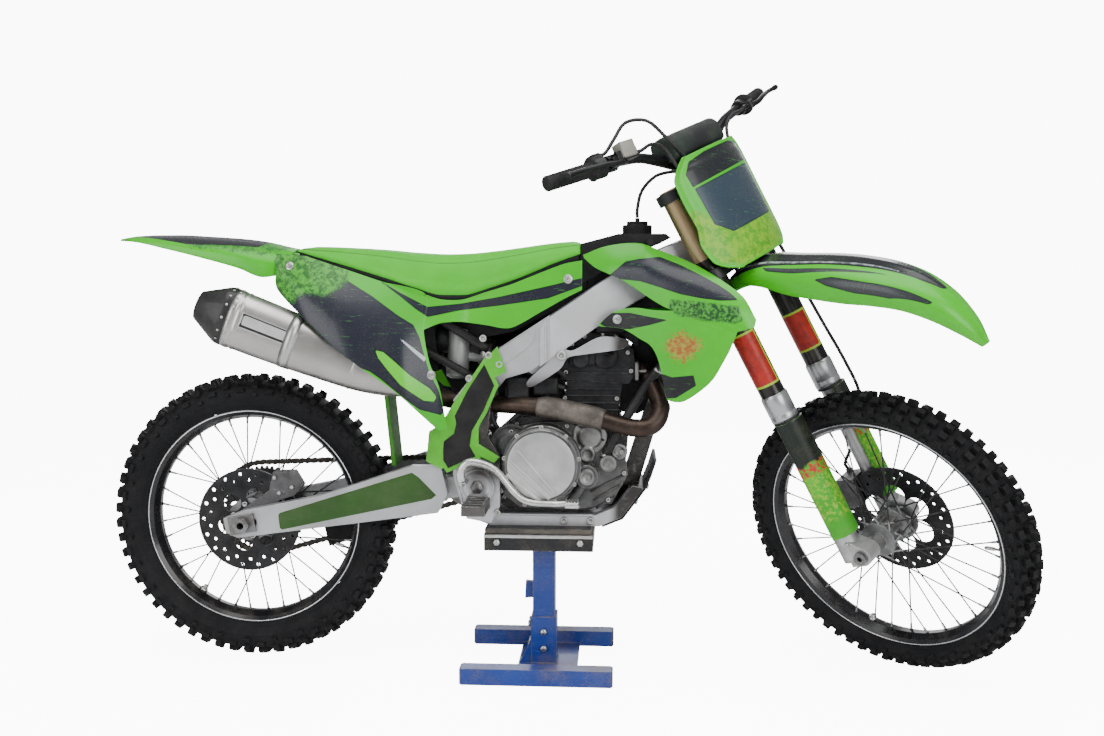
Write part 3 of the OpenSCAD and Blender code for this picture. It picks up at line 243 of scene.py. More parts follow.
def finish(name, colour, rough, metal=0.0, second=None, vary=(9.0, 0.4), grain=(900.0, 0.12),
        brush=None, wear=None,
           soil=None, coat=0.0, rounded=0.0008, marks=0.0, fields=(), tint=None, **plain):
    """One finish. wear: (colour, rough, metal, width, amount); soil: (colour, amount, scale);
    brush: (stretch, scale, strength); marks: fine scratches; fields: (attribute, film);
    tint: a function of the tree that gives the base colour."""
    made = bpy.data.materials.new(name)
    made.use_nodes = True
    tree = made.node_tree
    skin = tree.nodes["Principled BSDF"]
    second = second or tuple(c * 0.72 for c in colour)
    base = tint(tree) if tint else mix(tree, span(tree, cloud(tree, vary[0], 5, 0.6), 0.35, 0.75,
        0.0, vary[1]), colour, second)
    gloss = mixf(tree, cloud(tree, vary[0] * 3 + 5, 4), rough * 0.82, min(1.0, rough * 1.22))
    shine = metal
    for attr, lay in fields:
        near = wire(tree, "ShaderNodeAttribute", {"attribute_name": attr}).outputs["Fac"]
        base, gloss = lay(tree, near, base, gloss)
    if marks:
        streak = cloud(tree, 24.0, 6, 0.8, (1, 1, 9), (0.3, 0.7, 0.5))
        nick = calc(tree, "MULTIPLY", span(tree, streak, 0.60, 0.64), marks)
        base = mix(tree, nick, base, tuple(min(1, c * 1.5 + 0.045) for c in colour))
        gloss = mixf(tree, nick, gloss, 0.6)
    if wear:
        mask = wire(tree, "ShaderNodeGroup", {"node_tree": edge_wear}, Width=wear[3],
            Amount=wear[4], Break=55.0).outputs[0]
        base = mix(tree, mask, base, wear[0])
        gloss = mixf(tree, mask, gloss, wear[1])
        if wear[2] != metal:
            shine = mixf(tree, mask, shine, wear[2])
    if soil:
        mask = wire(tree, "ShaderNodeGroup", {"node_tree": dry_soil}, Amount=soil[1],
            Scale=soil[2], Top=0.9).outputs[0]
        base = mix(tree, mask, base, soil[0])
        gloss = mixf(tree, mask, gloss, 0.92)
        if metal > 0:
            shine = mixf(tree, mask, shine, 0.0)
    tree.links.new(base, skin.inputs["Base Color"])
    tree.links.new(gloss, skin.inputs["Roughness"])
    if isinstance(shine, bpy.types.NodeSocket):
        tree.links.new(shine, skin.inputs["Metallic"])
    else:
        skin.inputs["Metallic"].default_value = shine
    height = cloud(tree, grain[0], 3, 0.6)
    if brush:
        line = cloud(tree, brush[1], 4, 0.6, brush[0])
        height = calc(tree, "ADD", height, calc(tree, "MULTIPLY", line, brush[2]))
    edge = wire(tree, "ShaderNodeBevel", {"samples": 4},
        Radius=rounded).outputs[0] if rounded else None
    rise = wire(tree, "ShaderNodeBump", None, Strength=grain[1], Distance=0.0012, Height=height,
        Normal=edge)
    tree.links.new(rise.outputs[0], skin.inputs["Normal"])
    if metal < 0.5:
        skin.inputs["Specular IOR Level"].default_value = 0.3
    if coat:
        skin.inputs["Coat Weight"].default_value = coat
        skin.inputs["Coat Roughness"].default_value = 0.12
    for key, value in plain.items():
        skin.inputs[key.replace("_", " ")].default_value = value
    return made


def set_field(shape, label, values):
    """Stores one value a vertex, for a finish to read."""
    shape.data.attributes.new(label, "FLOAT", "POINT").data.foreach_set(
        "value", np.asarray(values, np.float32))


def keep_shape(shape):
    """Makes what the modifiers give the piece's own mesh."""
    bpy.context.view_layer.update()
    made = bpy.data.meshes.new_from_object(
        shape.evaluated_get(bpy.context.evaluated_depsgraph_get()))
    shape.modifiers.clear()
    shape.data = made


def dress(node, made):
    """Gives a CAD node its finish."""
    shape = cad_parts[node]
    shape.data.materials.clear()
    shape.data.materials.append(made)


def add_piece(shape, body, slot, made=None, *nodes):
    if made:
        shape.data.materials.clear()
        shape.data.materials.append(made)
    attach(shape, body)
    if nodes:
        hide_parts(*nodes)
    return shape


soil_brown = (0.22, 0.17, 0.12)
stand_blue = finish("stand_blue", (0.012, 0.045, 0.27), 0.34, second=(0.008, 0.028, 0.17),
    vary=(6, 0.8), grain=(420, 0.25),
                    wear=((0.23, 0.22, 0.21), 0.5, 0.5, 0.0035, 1.0), soil=(soil_brown, 0.5, 9),
                    coat=0.25, marks=0.6, rounded=0.0015)
dress("stand_base", stand_blue)
tray_steel = finish("tray_steel", (0.020, 0.021, 0.023), 0.42, 0.2, grain=(300, 0.25),
    wear=((0.42, 0.41, 0.4), 0.35, 0.8, 0.003, 1.0),
                    soil=(soil_brown, 0.35, 12), rounded=0.001)
dress("stand_top", tray_steel)


def join_shapes(name, shapes):
    """Several (verts, faces) lists as one mesh piece."""
    verts, faces = [], []
    for v, f in shapes:
        base = len(verts)
        verts += [tuple(p) for p in v]
        faces += [tuple(base + i for i in q) for q in f]
    return new_piece(name, verts, faces)


def block(low, high, cut=0.0):
    """A box with its edges cut, as verts and faces."""
    grid = bmesh.new()
    bmesh.ops.create_cube(grid, size=1.0)
    for v in grid.verts:
        v.co = Vector([(low[i] + high[i]) / 2 + v.co[i] * (high[i] - low[i]) for i in range(3)])
    if cut:
        bmesh.ops.bevel(grid, geom=grid.edges[:], offset=cut, segments=2, affect="EDGES",
            profile=0.6)
    grid.verts.index_update()
    out = [v.co.copy() for v in grid.verts], [[v.index for v in f.verts] for f in grid.faces]
    grid.free()
    return out


def place(shape, matrix):
    return [matrix @ Vector(v) for v in shape[0]], shape[1]


def lathe(profile, count=64, matrix=Matrix.Identity(4), closed=False):
    """Turns (radius, height) points about Z. Closed joins the last point to the first."""
    n = len(profile)
    verts = [Vector((r * math.cos(2 * math.pi * k / count), r * math.sin(2 * math.pi * k / count),
        h))
             for k in range(count) for r, h in profile]
    faces = []
    for k in range(count):
        j = (k + 1) % count
        for i in range(n if closed else n - 1):
            m = (i + 1) % n
            faces.append((k * n + i, j * n + i, j * n + m, k * n + m))
    if not closed:
        for end, at in ((0, profile[0]), (n - 1, profile[-1])):
            if at[0] > 1e-6:
                ring = [k * n + end for k in range(count)]
                faces.append(ring[::-1] if end == 0 else ring)
    made = [matrix @ v for v in verts], faces
    return made


def screw_head(r, h, socket=True):
    """A low screw head standing on Z = 0, with a hexagon socket or a plain hexagon head."""
    n = 16 if socket else 6
    rings = [(r, 0), (r, h * 0.75), (r * 0.86, h)] + ([(r * 0.5, h), (r * 0.5, h * 0.45)] if socket
        else [])
    verts, faces = [], []
    for rr, z in rings:
        verts += [Vector((rr * math.cos(2 * math.pi * k / n), rr * math.sin(2 * math.pi * k / n),
            z)) for k in range(n)]
    for i in range(len(rings) - 1):
        for k in range(n):
            j = (k + 1) % n
            faces.append((i * n + k, i * n + j, (i + 1) * n + j, (i + 1) * n + k))
    faces.append([(len(rings) - 1) * n + k for k in range(n)])
    faces.append([k for k in range(n)][::-1])
    return verts, faces


def repeat_tree():
    """Puts one shape at every point, turned and sized by the point's own attributes."""
    tree = bpy.data.node_groups.new("repeat_shape", "GeometryNodeTree")
    face = tree.interface
    face.new_socket("Geometry", in_out="INPUT", socket_type="NodeSocketGeometry")
    face.new_socket("Shape", in_out="INPUT", socket_type="NodeSocketObject")
    face.new_socket("Size", in_out="INPUT", socket_type="NodeSocketFloat").default_value = 1.0
    face.new_socket("Uneven", in_out="INPUT", socket_type="NodeSocketFloat").default_value = 0.0
    face.new_socket("Finish", in_out="INPUT", socket_type="NodeSocketMaterial")
    face.new_socket("Geometry", in_out="OUTPUT", socket_type="NodeSocketGeometry")
    gin, gout = tree.nodes.new("NodeGroupInput"), tree.nodes.new("NodeGroupOutput")
    info = tree.nodes.new("GeometryNodeObjectInfo")
    put = tree.nodes.new("GeometryNodeInstanceOnPoints")
    turn = tree.nodes.new("GeometryNodeInputNamedAttribute")
    size = tree.nodes.new("GeometryNodeInputNamedAttribute")
    turn.data_type = size.data_type = "FLOAT_VECTOR"
    turn.inputs["Name"].default_value, size.inputs["Name"].default_value = "turn", "size"
    chance = tree.nodes.new("FunctionNodeRandomValue")
    chance.data_type = "FLOAT"
    chance.inputs["Seed"].default_value = 7
    low = tree.nodes.new("ShaderNodeMath")
    low.operation, low.inputs[0].default_value = "SUBTRACT", 1.0
    high = tree.nodes.new("ShaderNodeMath")
    high.operation, high.inputs[0].default_value = "ADD", 1.0
    scale = tree.nodes.new("ShaderNodeVectorMath")
    scale.operation = "SCALE"
    twice = tree.nodes.new("ShaderNodeMath")
    twice.operation = "MULTIPLY"
    real, paint = tree.nodes.new("GeometryNodeRealizeInstances"), tree.nodes.new(
        "GeometryNodeSetMaterial")
    join = tree.links.new
    join(gin.outputs["Shape"], info.inputs["Object"])
    join(gin.outputs["Geometry"], put.inputs["Points"])
    join(info.outputs["Geometry"], put.inputs["Instance"])
    join(turn.outputs["Attribute"], put.inputs["Rotation"])
    join(gin.outputs["Uneven"], low.inputs[1])
    join(gin.outputs["Uneven"], high.inputs[1])
    join(low.outputs[0], [s for s in chance.inputs if s.name == "Min" and s.enabled][0])
    join(high.outputs[0], [s for s in chance.inputs if s.name == "Max" and s.enabled][0])
    join([s for s in chance.outputs if s.enabled][0], twice.inputs[0])
    join(gin.outputs["Size"], twice.inputs[1])
    join(size.outputs["Attribute"], scale.inputs[0])
    join(twice.outputs[0], scale.inputs["Scale"])
    join(scale.outputs[0], put.inputs["Scale"])
    join(put.outputs[0], real.inputs[0])
    join(real.outputs[0], paint.inputs["Geometry"])
    join(gin.outputs["Finish"], paint.inputs["Material"])
    join(paint.outputs[0], gout.inputs[0])
    return tree


repeat_shape = repeat_tree()


def repeat(name, shape, spots, made, size=1.0, uneven=0.0, smooth=True):
    """Repeats (verts, faces) at spots, each (point, axis for its Z, axis for its X, scale) with Geometry Nodes."""
    unit = new_piece(name + "_one", shape[0], shape[1], smooth)
    host = new_piece(name + "_host", [s[0] for s in spots], [])
    turn = host.data.attributes.new("turn", "FLOAT_VECTOR", "POINT")
    scale = host.data.attributes.new("size", "FLOAT_VECTOR", "POINT")
    for i, spot in enumerate(spots):
        z = Vector(spot[1]).normalized()
        x = Vector((1, 0, 0)) if abs(z.x) < 0.8 else Vector((0, 0, 1))
        if len(spot) > 2 and spot[2] is not None:
            x = Vector(spot[2])
        y = z.cross(x).normalized()
        turn.data[i].vector = Matrix((y.cross(z), y, z)).transposed().to_euler()
        s = spot[3] if len(spot) > 3 else 1.0
        scale.data[i].vector = (s, s, s) if isinstance(s, (int, float)) else s
    mod = host.modifiers.new("repeat", "NODES")
    mod.node_group = repeat_shape
    keys = {s.name: s.identifier for s in repeat_shape.interface.items_tree if s.in_out == "INPUT"}
    mod[keys["Shape"]] = unit
    mod[keys["Size"]] = size
    mod[keys["Uneven"]] = uneven
    mod[keys["Finish"]] = made
    bpy.context.view_layer.update()
    solid = bpy.data.meshes.new_from_object(host.evaluated_get(
        bpy.context.evaluated_depsgraph_get()))
    host.modifiers.clear()
    piece = bpy.data.objects.new(name, solid)
    bpy.context.scene.collection.objects.link(piece)
    solid.materials.clear()
    solid.materials.append(made)
    for spare in (host, unit):
        bpy.data.objects.remove(spare)
    return piece


zinc = finish("zinc_screw", (0.52, 0.52, 0.5), 0.32, 1.0, vary=(60, 0.6), grain=(600, 0.15),
    soil=(soil_brown, 0.35, 30), rounded=0.0004)
lo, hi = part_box("stand_top")
mat = block((lo.x + 0.002, lo.y + 0.002, hi.z - 0.0125),
    (hi.x - 0.002, hi.y - 0.002, hi.z - 0.0002), 0.003)
pad_rubber = finish("pad_rubber", (0.060, 0.055, 0.048), 0.72, second=(0.15, 0.135, 0.115),
    vary=(12, 0.9), grain=(700, 0.5),
                    soil=(soil_brown, 0.4, 22), rounded=0.001)
ribs = [block((lo.x + 0.0002, lo.y + 0.012 + 0.012 * k, hi.z - 0.010),
    (hi.x - 0.0002, lo.y + 0.018 + 0.012 * k, hi.z - 0.003), 0.001)
        for k in range(18)]
add_piece(join_shapes("stand_mat", [mat] + ribs), "chassis", "stand_pad", pad_rubber)
lip = [block((lo.x + 0.001, side - 0.0006, hi.z - 0.0205),
    (hi.x - 0.001, side + 0.0006, hi.z - 0.0135), 0.0005) for side in (lo.y, hi.y)]
tray_lip = finish("tray_lip", (0.62, 0.62, 0.61), 0.3, 0.9, second=(0.35, 0.34, 0.33),
    vary=(24, 0.8), grain=(500, 0.2), soil=(soil_brown, 0.3, 20), rounded=0)
add_piece(join_shapes("stand_tray_lip", lip), "chassis", "stand_paint", tray_lip)
# end caps of the feet, the post's pinch bolt, and the screws that hold the tray
caps = [block((sx * 0.1705 - 0.003, sy * 0.137 - 0.0175, 0.0005),
    (sx * 0.1705 + 0.003, sy * 0.137 + 0.0175, 0.0375), 0.002)
        for sx in (-1, 1) for sy in (-1, 1)]
cap_grey = finish("foot_cap", (0.05, 0.052, 0.056), 0.6, second=(0.16, 0.15, 0.14), vary=(30, 0.9),
    grain=(500, 0.4), soil=(soil_brown, 0.6, 16))
add_piece(join_shapes("stand_foot_caps", caps), "chassis", "stand_paint", cap_grey)
head = screw_head(0.008, 0.007, False)
add_piece(repeat("stand_screws", head, [((0.010, -0.0305, z), (0, -1, 0)) for z in (0.045, 0.085)]
                 + [((-0.0205, y, z), (-1, 0, 0)) for y in (-0.016, 0.016) for z in (0.05, 0.1)]
                 + [((x, y, hi.z - 0.030), (0, y / abs(y), 0)) for x in (-0.09, 0.098)
                 for y in (lo.y, hi.y)], zinc),
          "chassis", "stand_paint")


def bead(path):
    """A weld bead: overlapping ripples along a path, as spots for repeat."""
    ripple_step, spots = 0.0035, []
    for a, b in zip(path, path[1:]):
        a, b = Vector(a), Vector(b)
        count = max(1, int((b - a).length / ripple_step))
        spots += [(a.lerp(b, k / count), (b - a).normalized(), None, 1.0) for k in range(count)]
    return spots


ripple = lathe([(0.0001, -0.0026), (0.0019, -0.0018), (0.0026, 0.0), (0.0019, 0.0018),
    (0.0001, 0.0026)], 8)
weld_path = [(-0.020, -0.030, 0.0085), (0.040, -0.030, 0.0085), (0.040, 0.030, 0.0085),
    (-0.020, 0.030, 0.0085), (-0.020, -0.030, 0.0085)]
foot_weld = [[(-0.05, s * 0.118, 0.0085), (0.09, s * 0.118, 0.0085)] for s in (-1, 1)]
add_piece(repeat("stand_welds", ripple, bead(weld_path) + bead(foot_weld[0]) + bead(foot_weld[1])
                 + bead([(-0.016, -0.026, 0.1195), (0.036, -0.026, 0.1195),
                 (0.036, 0.026, 0.1195)]), stand_blue),
          "chassis", "stand_paint")

# ---------- Wheels ----------
# Off-road tyres with blocks moulded on a round carcass: 19-inch rear, 21-inch front. Each knob is
# a tapered block with its edges broken, set in rows that turn out over the shoulder.
rear_axle_at = Matrix.Translation((-0.675891, 0, 0.349989)) @ Matrix.Rotation(math.radians(-90), 4,
    "X")
rake, parked_turn, axle_lead = 27.4, 43, 0.064
fork_at = (Matrix.Translation((0.7506, 0, 0.3188)) @ Matrix.Rotation(math.radians(-rake), 4, "Y")
           @ Matrix.Rotation(math.radians(-parked_turn), 4, "Z"))
front_axle_at = fork_at @ Matrix.Translation((axle_lead, 0,
    0)) @ Matrix.Rotation(math.radians(-90), 4, "X")
tyre_rubber = finish("tyre_rubber", (0.007, 0.007, 0.008), 0.62, second=(0.014, 0.014, 0.015),
    vary=(16, 0.8), grain=(520, 0.5),
                     soil=((0.035, 0.033, 0.031), 0.25, 26), rounded=0.0012,
                     Specular_IOR_Level=0.15)
knob_rubber = finish("knob_rubber", (0.006, 0.006, 0.007), 0.58, second=(0.013, 0.013, 0.014),
    vary=(34, 0.9), grain=(420, 0.6),
                     wear=((0.035, 0.034, 0.033), 0.8, 0.0, 0.003, 0.8),
                     soil=((0.038, 0.036, 0.033), 0.25, 40), rounded=0.0014,
                     Specular_IOR_Level=0.15)


def knob_shape():
    """A knob one unit wide each way, standing on Z from its sunk foot to 1."""
    top, sunk = 0.84, -0.35
    grid = bmesh.new()
    bmesh.ops.create_cube(grid, size=1.0)
    for v in grid.verts:
        up = v.co.z > 0
        share = top if up else 1.0
        v.co = Vector((v.co.x * share, v.co.y * share, 1.0 if up else sunk))
    bmesh.ops.bevel(grid, geom=[e for e in grid.edges if max(v.co.z for v in e.verts) > 0],
        offset=0.07, segments=2,
                    affect="EDGES", profile=0.6)
    grid.verts.index_update()
    out = [v.co.copy() for v in grid.verts], [[v.index for v in f.verts] for f in grid.faces]
    grid.free()
    return out


def tyre(name, body, slot, node, r, w, seat, rows, at, wide):
    deep = r - seat
    side = [(seat + 1, w * .62), (seat + 4, w * .70), (seat + 5.5, w * .69), (seat + 7, w * .735),
        (seat + deep * .22, w * .87),
            (seat + deep * .34, w * .93), (seat + deep * .35, w * .942),
            (seat + deep * .37, w * .942), (seat + deep * .38, w * .935),
            (seat + deep * .5, w * .955), (seat + deep * .56, w * .955), (r - 26, w * .90),
            (r - 20, w * .74), (r - 16, w * .50), (r - 14, w * .25)]
    inner = [(r - 24, 0), (r - 28, w * .5), (seat + deep * .6, w * .78),
        (seat + deep * .3, w * .7), (seat + 1, w * .44)]
    ring = side + [(r - 13.5, 0)] + [(q, -y) for q, y in side[::-1]]
    ring += [(q, -y) for q, y in inner[::-1]] + [(q, y) for q, y in inner[1:]]
    ring = [(q / 1000, y / 1000) for q, y in ring]
    casing = lathe(ring[::-1], 168, at, True)
    add_piece(new_piece(name, *casing), body, slot, tyre_rubber, node)
    spots = []
    # knobs: across, lean of the block outward, length along the tread, width, height
    even = [(0.20, 8, 19, 19, 15.0), (0.70, 34, 21, 17, 14.0), (0.965, 66, 22, 13, 12.0)]
    odd = [(0.42, 20, 20, 20, 15.0), (0.86, 52, 15, 16, 13.5), (0.985, 74, 13, 10, 10.0)]
    for k in range(rows):
        turn = 2 * math.pi * (k + 0.5) / rows
        for across, lean, long, width, high in (even if k % 2 else odd):
            for s in (-1, 1):
                y = s * across * w * 0.94
                a = math.radians(lean) * s
                foot = r - 14.2 - 12.5 * max(0, across - 0.30) ** 1.35 * 1.9
                if across > 0.9:
                    foot -= 7 if across < 0.98 else 15
                out = Vector((math.cos(turn), math.sin(turn), 0))
                up = (out * math.cos(a) + Vector((0, 0, 1)) * math.sin(a))
                point = out * foot / 1000 + Vector((0, 0, y / 1000 * (0.93 if across > 0.9 else 1)))
                along = out.cross(Vector((0, 0, 1)))
                spots.append((at @ point, at.to_3x3() @ up, at.to_3x3() @ along,
                              (long / 1000, width * wide / 1000, high / 1000)))
    add_piece(repeat(name + "_knobs", knob_shape(), spots, knob_rubber, uneven=0.03, smooth=False),
        body, slot)


# outside radius, half width and rim radius of each tyre, in millimetres
rear_tyre_r, rear_half, rear_rim_r = 335, 52, 254
front_tyre_r, front_half, front_rim_r = 342, 42, 281
tyre("rear_tyre_casing", "rear_wheel", "tyre", "rear_tyre", rear_tyre_r, rear_half, rear_rim_r, 56,
    rear_axle_at, 1.0)
tyre("front_tyre_casing", "front_wheel", "tyre", "front_tyre", front_tyre_r, front_half,
    front_rim_r, 64, front_axle_at, 0.82)

rim_black = finish("rim_black", (0.012, 0.012, 0.014), 0.24, 0.35, second=(0.022, 0.022, 0.024),
    vary=(14, 0.8), grain=(500, 0.06),
                   soil=((0.12, 0.10, 0.08), 0.3, 20), coat=0.4, marks=0.35, rounded=0.0008)
for part in ("front_rim", "rear_rim"):
    dress(part, rim_black)
spoke_black = finish("spoke_black", (0.02, 0.02, 0.022), 0.3, 0.6, second=(0.05, 0.05, 0.05),
    vary=(40, 0.7), grain=(800, 0.05),
                     soil=((0.16, 0.13, 0.1), 0.3, 30), rounded=0)
for part in ("front_spokes", "rear_spokes"):
    dress(part, spoke_black)
rim_bright = finish("rim_bright", (0.72, 0.73, 0.75), 0.25, 1.0, vary=(50, 0.3), grain=(900, 0.05),
    soil=(soil_brown, 0.2, 30), rounded=0)


def rim_line(name, body, slot, r, w, at):
    """The polished lip of each of the rim's two flanges."""
    rings = []
    for s in (-1, 1):
        y = s * w * 0.626
        loop = [(r - 2.6 + 1.5 * math.cos(a * math.pi / 4), y + 1.1 * math.sin(a * math.pi / 4))
            for a in range(8)]
        rings.append(lathe([(q / 1000, h / 1000) for q, h in loop][::-1], 200, at, True))
    add_piece(join_shapes(name, rings), body, slot, rim_bright)


rim_line("rear_rim_lip", "rear_wheel", "black_metal", rear_rim_r, rear_half, rear_axle_at)
rim_line("front_rim_lip", "front_wheel", "black_metal", front_rim_r, front_half, front_axle_at)


def spoke_spots(rh, rr, y_hub, at):
    """Rim end and hub end of every spoke, with its direction."""
    pairs, pitch, crossing = 9, 20, 40
    ends, heads = [], []
    for side in (-1, 1):
        for k in range(pairs):
            for lean in (-1, 1):
                a = math.radians((2 * k + lean / 2 + side / 4) * pitch)
                e = a - lean * math.radians(crossing)
                p = mm(rh * math.cos(a), -rh * math.sin(a), side * y_hub + lean * 4)
                o = mm(rr * math.cos(e), -rr * math.sin(e), side * 4 + lean * 1.2)
                run = (p - o).normalized()
                ends.append((at @ (o - run * 0.001), at.to_3x3() @ run))
                heads.append((at @ p, at.to_3x3() @ -run))
    return ends, heads


nipple = lathe([(0.0034, 0), (0.0034, 0.003), (0.0027, 0.0045), (0.0027, 0.014), (0.0020, 0.0155)],
    8)
swage = lathe([(0.0001, -0.004), (0.0031, -0.003), (0.0034, 0.0), (0.0024, 0.004),
    (0.0019, 0.022)], 8)
nipple_grey = finish("nipple_grey", (0.30, 0.30, 0.31), 0.38, 0.9, vary=(60, 0.6),
    grain=(700, 0.1), soil=(soil_brown, 0.4, 40), rounded=0)
for label, body, data in (("rear", "rear_wheel", (49.6, 231.6, 36, rear_axle_at)),
        ("front", "front_wheel", (41.6, 258.9, 34, front_axle_at))):
    rim_ends, hub_ends = spoke_spots(*data)
    add_piece(repeat(label + "_nipples", nipple, rim_ends, nipple_grey), body, "black_metal")
    add_piece(repeat(label + "_spoke_heads", swage, hub_ends, nipple_grey), body, "black_metal")

hub_cast = finish("hub_cast", (0.26, 0.265, 0.27), 0.42, 0.8, second=(0.10, 0.10, 0.10),
    vary=(26, 0.95), grain=(260, 0.5),
                  wear=((0.62, 0.62, 0.61), 0.3, 0.9, 0.002, 0.8),
                  soil=((0.20, 0.17, 0.14), 0.7, 26), rounded=0.0012)
for part in ("front_hub", "rear_hub"):
    dress(part, hub_cast)
disc_dark = finish("disc_dark", (0.032, 0.032, 0.034), 0.36, 0.8, second=(0.012, 0.012, 0.012),
    vary=(18, 0.9), grain=(400, 0.2),
                   brush=((1, 60, 1), 40, 0.5), wear=((0.4, 0.4, 0.4), 0.3, 1.0, 0.0014, 0.6),
                   soil=((0.07, 0.062, 0.054), 0.35, 24), rounded=0.0006)
for part in ("front_disc", "rear_disc"):
    dress(part, disc_dark)
sprocket_dark = finish("sprocket_dark", (0.045, 0.045, 0.048), 0.36, 0.75,
    second=(0.02, 0.02, 0.02), vary=(20, 0.8), grain=(500, 0.2),
                       wear=((0.55, 0.54, 0.52), 0.3, 1.0, 0.002, 0.9),
                       soil=((0.12, 0.10, 0.08), 0.5, 30), rounded=0.0006)
dress("rear_sprocket", sprocket_dark)

button = screw_head(0.0065, 0.005, True)


def ring_of(at, radius, y, count, outward=1, start=0.0):
    return [(at @ mm(radius * math.cos(2 * math.pi * k / count + start),
        radius * math.sin(2 * math.pi * k / count + start), y),
             at.to_3x3() @ Vector((0, 0, outward))) for k in range(count)]


add_piece(repeat("rear_wheel_screws", button,
    ring_of(rear_axle_at, 38, -61, 6, -1, 0.3) + ring_of(rear_axle_at, 44, 69.5, 6, 1), zinc),
          "rear_wheel", "steel")
add_piece(repeat("front_wheel_screws", button, ring_of(front_axle_at, 34, 65, 6, 1, 0.3), zinc),
    "front_wheel", "steel")


def hub_ribs(name, body, at, r_low, r_high, y, count, thick):
    """Cast ribs between the two spoke flanges of a hub."""
    parts = []
    for k in range(count):
        turn = at @ Matrix.Rotation(2 * math.pi * k / count, 4, "Z")
        parts.append(place(block((r_low / 1000, -thick / 2000, -y / 1000),
            (r_high / 1000, thick / 2000, y / 1000), 0.0008), turn))
    add_piece(join_shapes(name, parts), body, "engine_alloy", hub_cast)


hub_ribs("rear_hub_ribs", "rear_wheel", rear_axle_at, 28, 42, 26, 9, 5)
hub_ribs("front_hub_ribs", "front_wheel", front_axle_at, 22, 33, 24, 9, 4)
valve = lathe([(0.003, 0), (0.003, 0.012), (0.0045, 0.013), (0.0045, 0.030), (0.003, 0.034)], 12)
nut = lathe([(0.010, 0), (0.010, 0.006), (0.006, 0.007), (0.006, 0.014)], 6)
for label, body, at, r in (("rear", "rear_wheel", rear_axle_at, 233),
        ("front", "front_wheel", front_axle_at, 260)):
    stems = []
    for shape, turn in ((valve, 0.35), (nut, 2.2)):
        out = Vector((math.cos(turn), math.sin(turn), 0))
        put = Matrix.Translation(out * r / 1000) @ Matrix((out.cross(Vector((0, 0, 1))),
            Vector((0, 0, 1)), -out)).transposed().to_4x4()
        stems.append(place(shape, at @ put))
    add_piece(join_shapes(label + "_valve_and_clamp_nut", stems), body, "black_metal", zinc)
axle_steel = finish("axle_steel", (0.24, 0.24, 0.24), 0.33, 0.95, second=(0.09, 0.088, 0.085),
    vary=(40, 0.8), grain=(500, 0.2),
                    wear=((0.7, 0.7, 0.7), 0.25, 1.0, 0.0015, 0.7), soil=(soil_brown, 0.5, 30))
dress("rear_axle", axle_steel)
dress("front_axle", axle_steel)

# ---------- Covers ----------
# Side panels, shrouds, fenders and the front board: thin polypropylene, moulded green all
# through, with a printed film of charcoal fields and stripes. Every field here is left blank.
cover_wall = 3.8
cover_green = (0.050, 0.47, 0.008)
film_black = (0.007, 0.008, 0.010)
film_grey = (0.016, 0.018, 0.028)


def steady(x, table):
    """Smooth curve through (x, value) points that never overshoots them."""
    xs = np.array([p[0] for p in table], float)
    vs = np.array([p[1] for p in table], float)
    x = np.clip(np.asarray(x, float), xs[0], xs[-1])
    h = np.diff(xs)
    d = np.diff(vs) / h
    m = np.zeros(len(xs))
    m[0], m[-1] = d[0], d[-1]
    for i in range(1, len(xs) - 1):
        if d[i - 1] * d[i] > 0:
            w1, w2 = 2 * h[i] + h[i - 1], h[i] + 2 * h[i - 1]
            m[i] = (w1 + w2) / (w1 / d[i - 1] + w2 / d[i])
    i = np.clip(np.searchsorted(xs, x, side="right") - 1, 0, len(h) - 1)
    s = (x - xs[i]) / h[i]
    return (vs[i] * (1 + 2 * s) * (1 - s) ** 2 + h[i] * m[i] * s * (1 - s) ** 2
            + vs[i + 1] * s * s * (3 - 2 * s) + h[i] * m[i + 1] * s * s * (s - 1))


def rounded_line(points, count, tension=0.5):
    """Points along a smooth curve through the given ones, an equal number to each span."""
    p = np.array(points, float)
    q = np.vstack([2 * p[0] - p[1], p, 2 * p[-1] - p[-2]])
    out = []
    for t in np.linspace(0, len(p) - 1, count):
        i = min(int(t), len(p) - 2)
        s = t - i
        a, b, c, d = q[i], q[i + 1], q[i + 2], q[i + 3]
        m1, m2 = tension * (c - a), tension * (d - b)
        out.append((2 * s ** 3 - 3 * s ** 2 + 1) * b + (s ** 3 - 2 * s ** 2 + s) * m1
            + (3 * s ** 2 - 2 * s ** 3) * c + (s ** 3 - s ** 2) * m2)
    return np.array(out)


def inside_by(points, outline):
    """Distance of each point inside a closed outline, negative outside."""
    p, q = np.asarray(points, float), np.asarray(outline, float)
    best = np.full(len(p), 1e9)
    inner = np.zeros(len(p), bool)
    for a, b in zip(q, np.roll(q, -1, axis=0)):
        e = b - a
        t = np.clip(((p - a) @ e) / max(e @ e, 1e-9), 0, 1)
        best = np.minimum(best, np.linalg.norm(p - a - t[:, None] * e, axis=1))
        crosses = (a[1] > p[:, 1]) != (b[1] > p[:, 1])
        with np.errstate(divide="ignore", invalid="ignore"):
            inner ^= crosses & (p[:, 0] < (b[0] - a[0]) * (p[:, 1] - a[1]) / (b[1] - a[1]) + a[0])
    return np.where(inner, best, -best)


